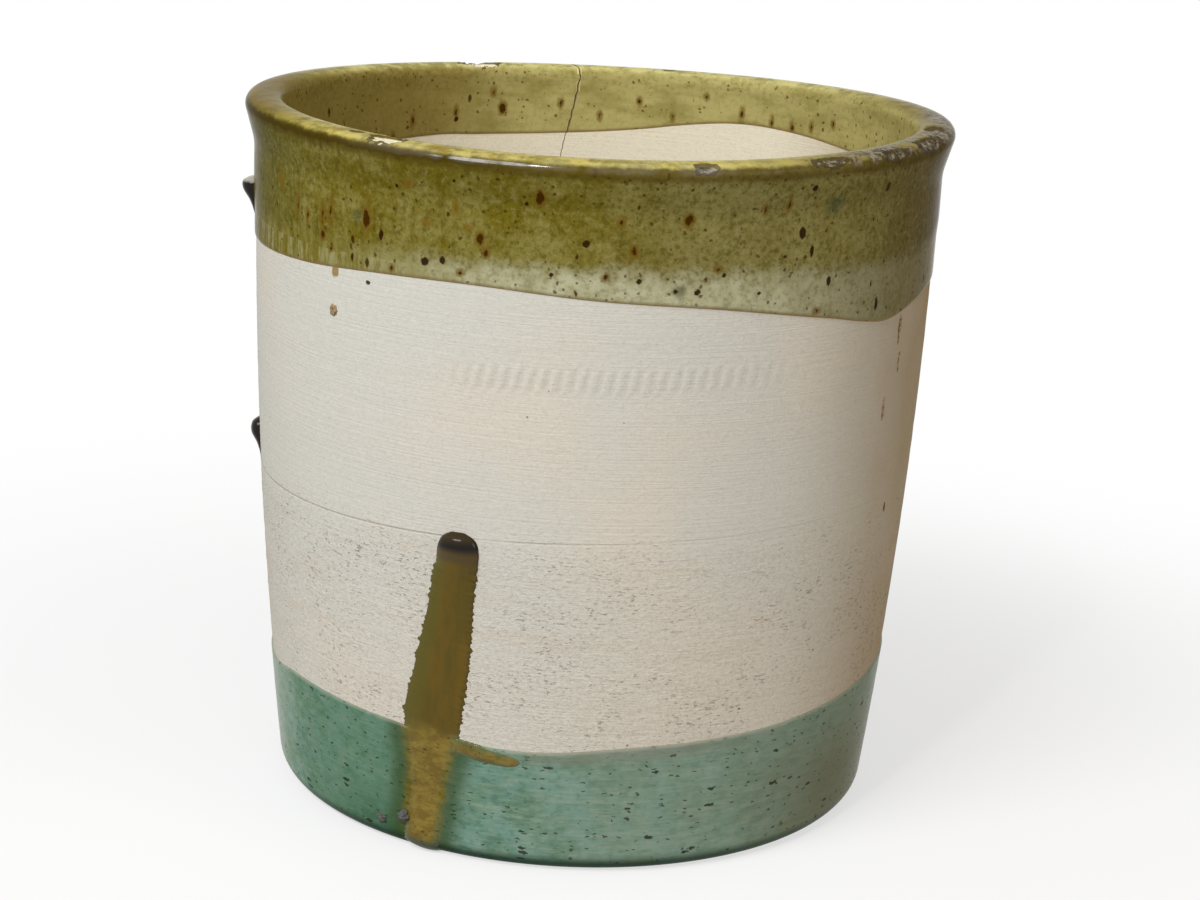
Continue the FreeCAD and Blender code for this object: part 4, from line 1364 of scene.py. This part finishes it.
class FlowerPotStage(bpy.types.PropertyGroup):
    """Camera and lamps."""

    camera_distance: length("Camera distance", "How far the camera stands in front of the axis", 880.8 * MM)
    camera_level: length("Camera level", "Level of the camera", 355.1 * MM)
    camera_pitch: angle("Camera pitch", "How far the camera looks down", 15.33)
    camera_roll: angle("Camera roll", "How far the camera is tipped", 2.71)
    camera_lens: number("Focal length", "In millimetres on a 36 mm sensor", 78.3)
    camera_shift: number("Camera shift", "Share of the frame's width", 0.0136)
    key_power: power("Key power", "Power of the soft key lamp", 39)
    glint_power: power("Glint power", "Power of the small lamp for the glints", 7)
    fill_power: power("Fill power", "Power of the warm fill lamp", 9)
    sky: number("Sky", "Strength of the even light all round", 0.36)


def background_seen(nodes):
    """One for the rays that show the white background: camera, glossy and transmission rays."""
    path = nodes.add("ShaderNodeLightPath").outputs
    mirrored = nodes.sum("MAXIMUM", path["Is Glossy Ray"], path["Is Transmission Ray"])
    return nodes.sum("MAXIMUM", path["Is Camera Ray"], mirrored)


def floor_material():
    """A white floor that keeps the shadow near the pot and fades into the white background."""
    material, nodes, shader = new_material("pale_floor")
    seen = background_seen(nodes)
    grey = nodes.mix(seen, FLOOR_LIT, FLOOR_SEEN)
    nodes.wire(shader, Base_Color=grey, Roughness=0.9, Specular_IOR_Level=0.1)
    white = nodes.add("ShaderNodeEmission", {"Color": (1, 1, 1), "Strength": nodes.band(seen, 0, 1, 0.25, 1)})
    fade = nodes.band(nodes.reach(nodes.place()), 0.14, 0.5, 0.62, 1)
    both = nodes.add("ShaderNodeMixShader", {0: fade, 1: shader.outputs[0], 2: white.outputs[0]})
    nodes.tree.links.new(both.outputs[0], nodes.tree.nodes["Material Output"].inputs["Surface"])
    return material


def set_floor(scene):
    """Lays the round floor."""
    bm = bmesh.new()
    bmesh.ops.create_circle(bm, cap_ends=True, segments=96, radius=4)
    mesh = bpy.data.meshes.new("floor")
    bm.to_mesh(mesh)
    bm.free()
    mesh.materials.append(floor_material())
    floor = bpy.data.objects.new("floor", mesh)
    scene.collection.objects.link(floor)


def set_room(scene, stage):
    """Puts a white room round the pot that gives only a low even light."""
    world = bpy.data.worlds.new("white_room")
    world.use_nodes = True
    nodes = Nodes(world.node_tree)
    strength = nodes.band(background_seen(nodes), 0, 1, stage.sky, 1)
    nodes.wire(world.node_tree.nodes["Background"], Color=(1, 1, 1), Strength=strength)
    scene.world = world


def set_lamps(scene, stage):
    """Hangs the round lamps and aims them at the middle of the pot."""
    lamps = (
        ("soft_key", stage.key_power, 1.3, (-1.1, -1.35, 1.7), (1, 1, 1)),
        ("glint", stage.glint_power, 0.14, (-0.62, -1.55, 1.75), (1, 1, 1)),
        ("warm_fill", stage.fill_power, 1.2, (1.7, -0.9, 0.7), (1, 0.86, 0.68)),
    )
    for name, watts, size, spot, tint in lamps:
        light = bpy.data.lights.new(name, "AREA")
        light.shape, light.size, light.energy, light.color = "DISK", size, watts, tint
        lamp = bpy.data.objects.new(name, light)
        aim = Vector((0, 0, 0.12)) - Vector(spot)
        lamp.matrix_world = Matrix.Translation(spot) @ aim.to_track_quat("-Z", "Y").to_matrix().to_4x4()
        scene.collection.objects.link(lamp)


def set_camera(scene, stage):
    """Stands the camera in front of the pot, looking down a little and slightly tipped."""
    lens = bpy.data.cameras.new("photo_camera")
    lens.lens, lens.shift_x, lens.clip_start = stage.camera_lens, stage.camera_shift, 0.01
    camera = bpy.data.objects.new("photo_camera", lens)
    pitch = Matrix.Rotation(math.pi / 2 - stage.camera_pitch, 4, "X")
    roll = Matrix.Rotation(stage.camera_roll, 4, "Z")
    camera.matrix_world = Matrix.Translation((0, -stage.camera_distance, stage.camera_level)) @ pitch @ roll
    scene.collection.objects.link(camera)
    scene.camera = camera


class FLOWERPOT_OT_stage(bpy.types.Operator):
    """Set the floor, the white background, the lamps and the camera"""

    bl_idname = "flowerpot.stage"
    bl_label = "Stage"

    def execute(self, context):
        scene = context.scene
        stage = scene.flower_pot_stage
        set_floor(scene)
        set_room(scene, stage)
        set_lamps(scene, stage)
        set_camera(scene, stage)
        scene.view_settings.view_transform = "Standard"
        return {"FINISHED"}


PIECES = (
    FLOWERPOT_OT_clay_body, FLOWERPOT_OT_rim_glaze, FLOWERPOT_OT_foot_glaze, FLOWERPOT_OT_runs,
    FLOWERPOT_OT_wall_spots, FLOWERPOT_OT_kiln_grit, FLOWERPOT_OT_stage,
)


class FLOWERPOT_PT_sidebar(bpy.types.Panel):
    """Buttons that build the pot piece by piece"""

    bl_idname = "FLOWERPOT_PT_sidebar"
    bl_label = "Flower Pot"
    bl_space_type = "VIEW_3D"
    bl_region_type = "UI"
    bl_category = "Flower Pot"

    def draw(self, context):
        for piece in PIECES:
            self.layout.operator(piece.bl_idname)
        for group in (form_of(context), colours_of(context), context.scene.flower_pot_stage):
            box = self.layout.box()
            for name in group.__annotations__:
                box.prop(group, name)


CLASSES = (FlowerPotForm, FlowerPotColours, FlowerPotStage, *PIECES, FLOWERPOT_PT_sidebar)


def register():
    for item in CLASSES:
        bpy.utils.register_class(item)
    bpy.types.Scene.flower_pot_form = PointerProperty(type=FlowerPotForm)
    bpy.types.Scene.flower_pot_colours = PointerProperty(type=FlowerPotColours)
    bpy.types.Scene.flower_pot_stage = PointerProperty(type=FlowerPotStage)


def unregister():
    del bpy.types.Scene.flower_pot_stage
    del bpy.types.Scene.flower_pot_colours
    del bpy.types.Scene.flower_pot_form
    for item in reversed(CLASSES):
        bpy.utils.unregister_class(item)


def main():
    register()
    bpy.ops.flowerpot.clay_body()
    bpy.ops.flowerpot.rim_glaze()
    bpy.ops.flowerpot.foot_glaze()
    bpy.ops.flowerpot.runs()
    bpy.ops.flowerpot.wall_spots()
    bpy.ops.flowerpot.kiln_grit()
    bpy.ops.flowerpot.stage()


if __name__ == "__main__":
    main()
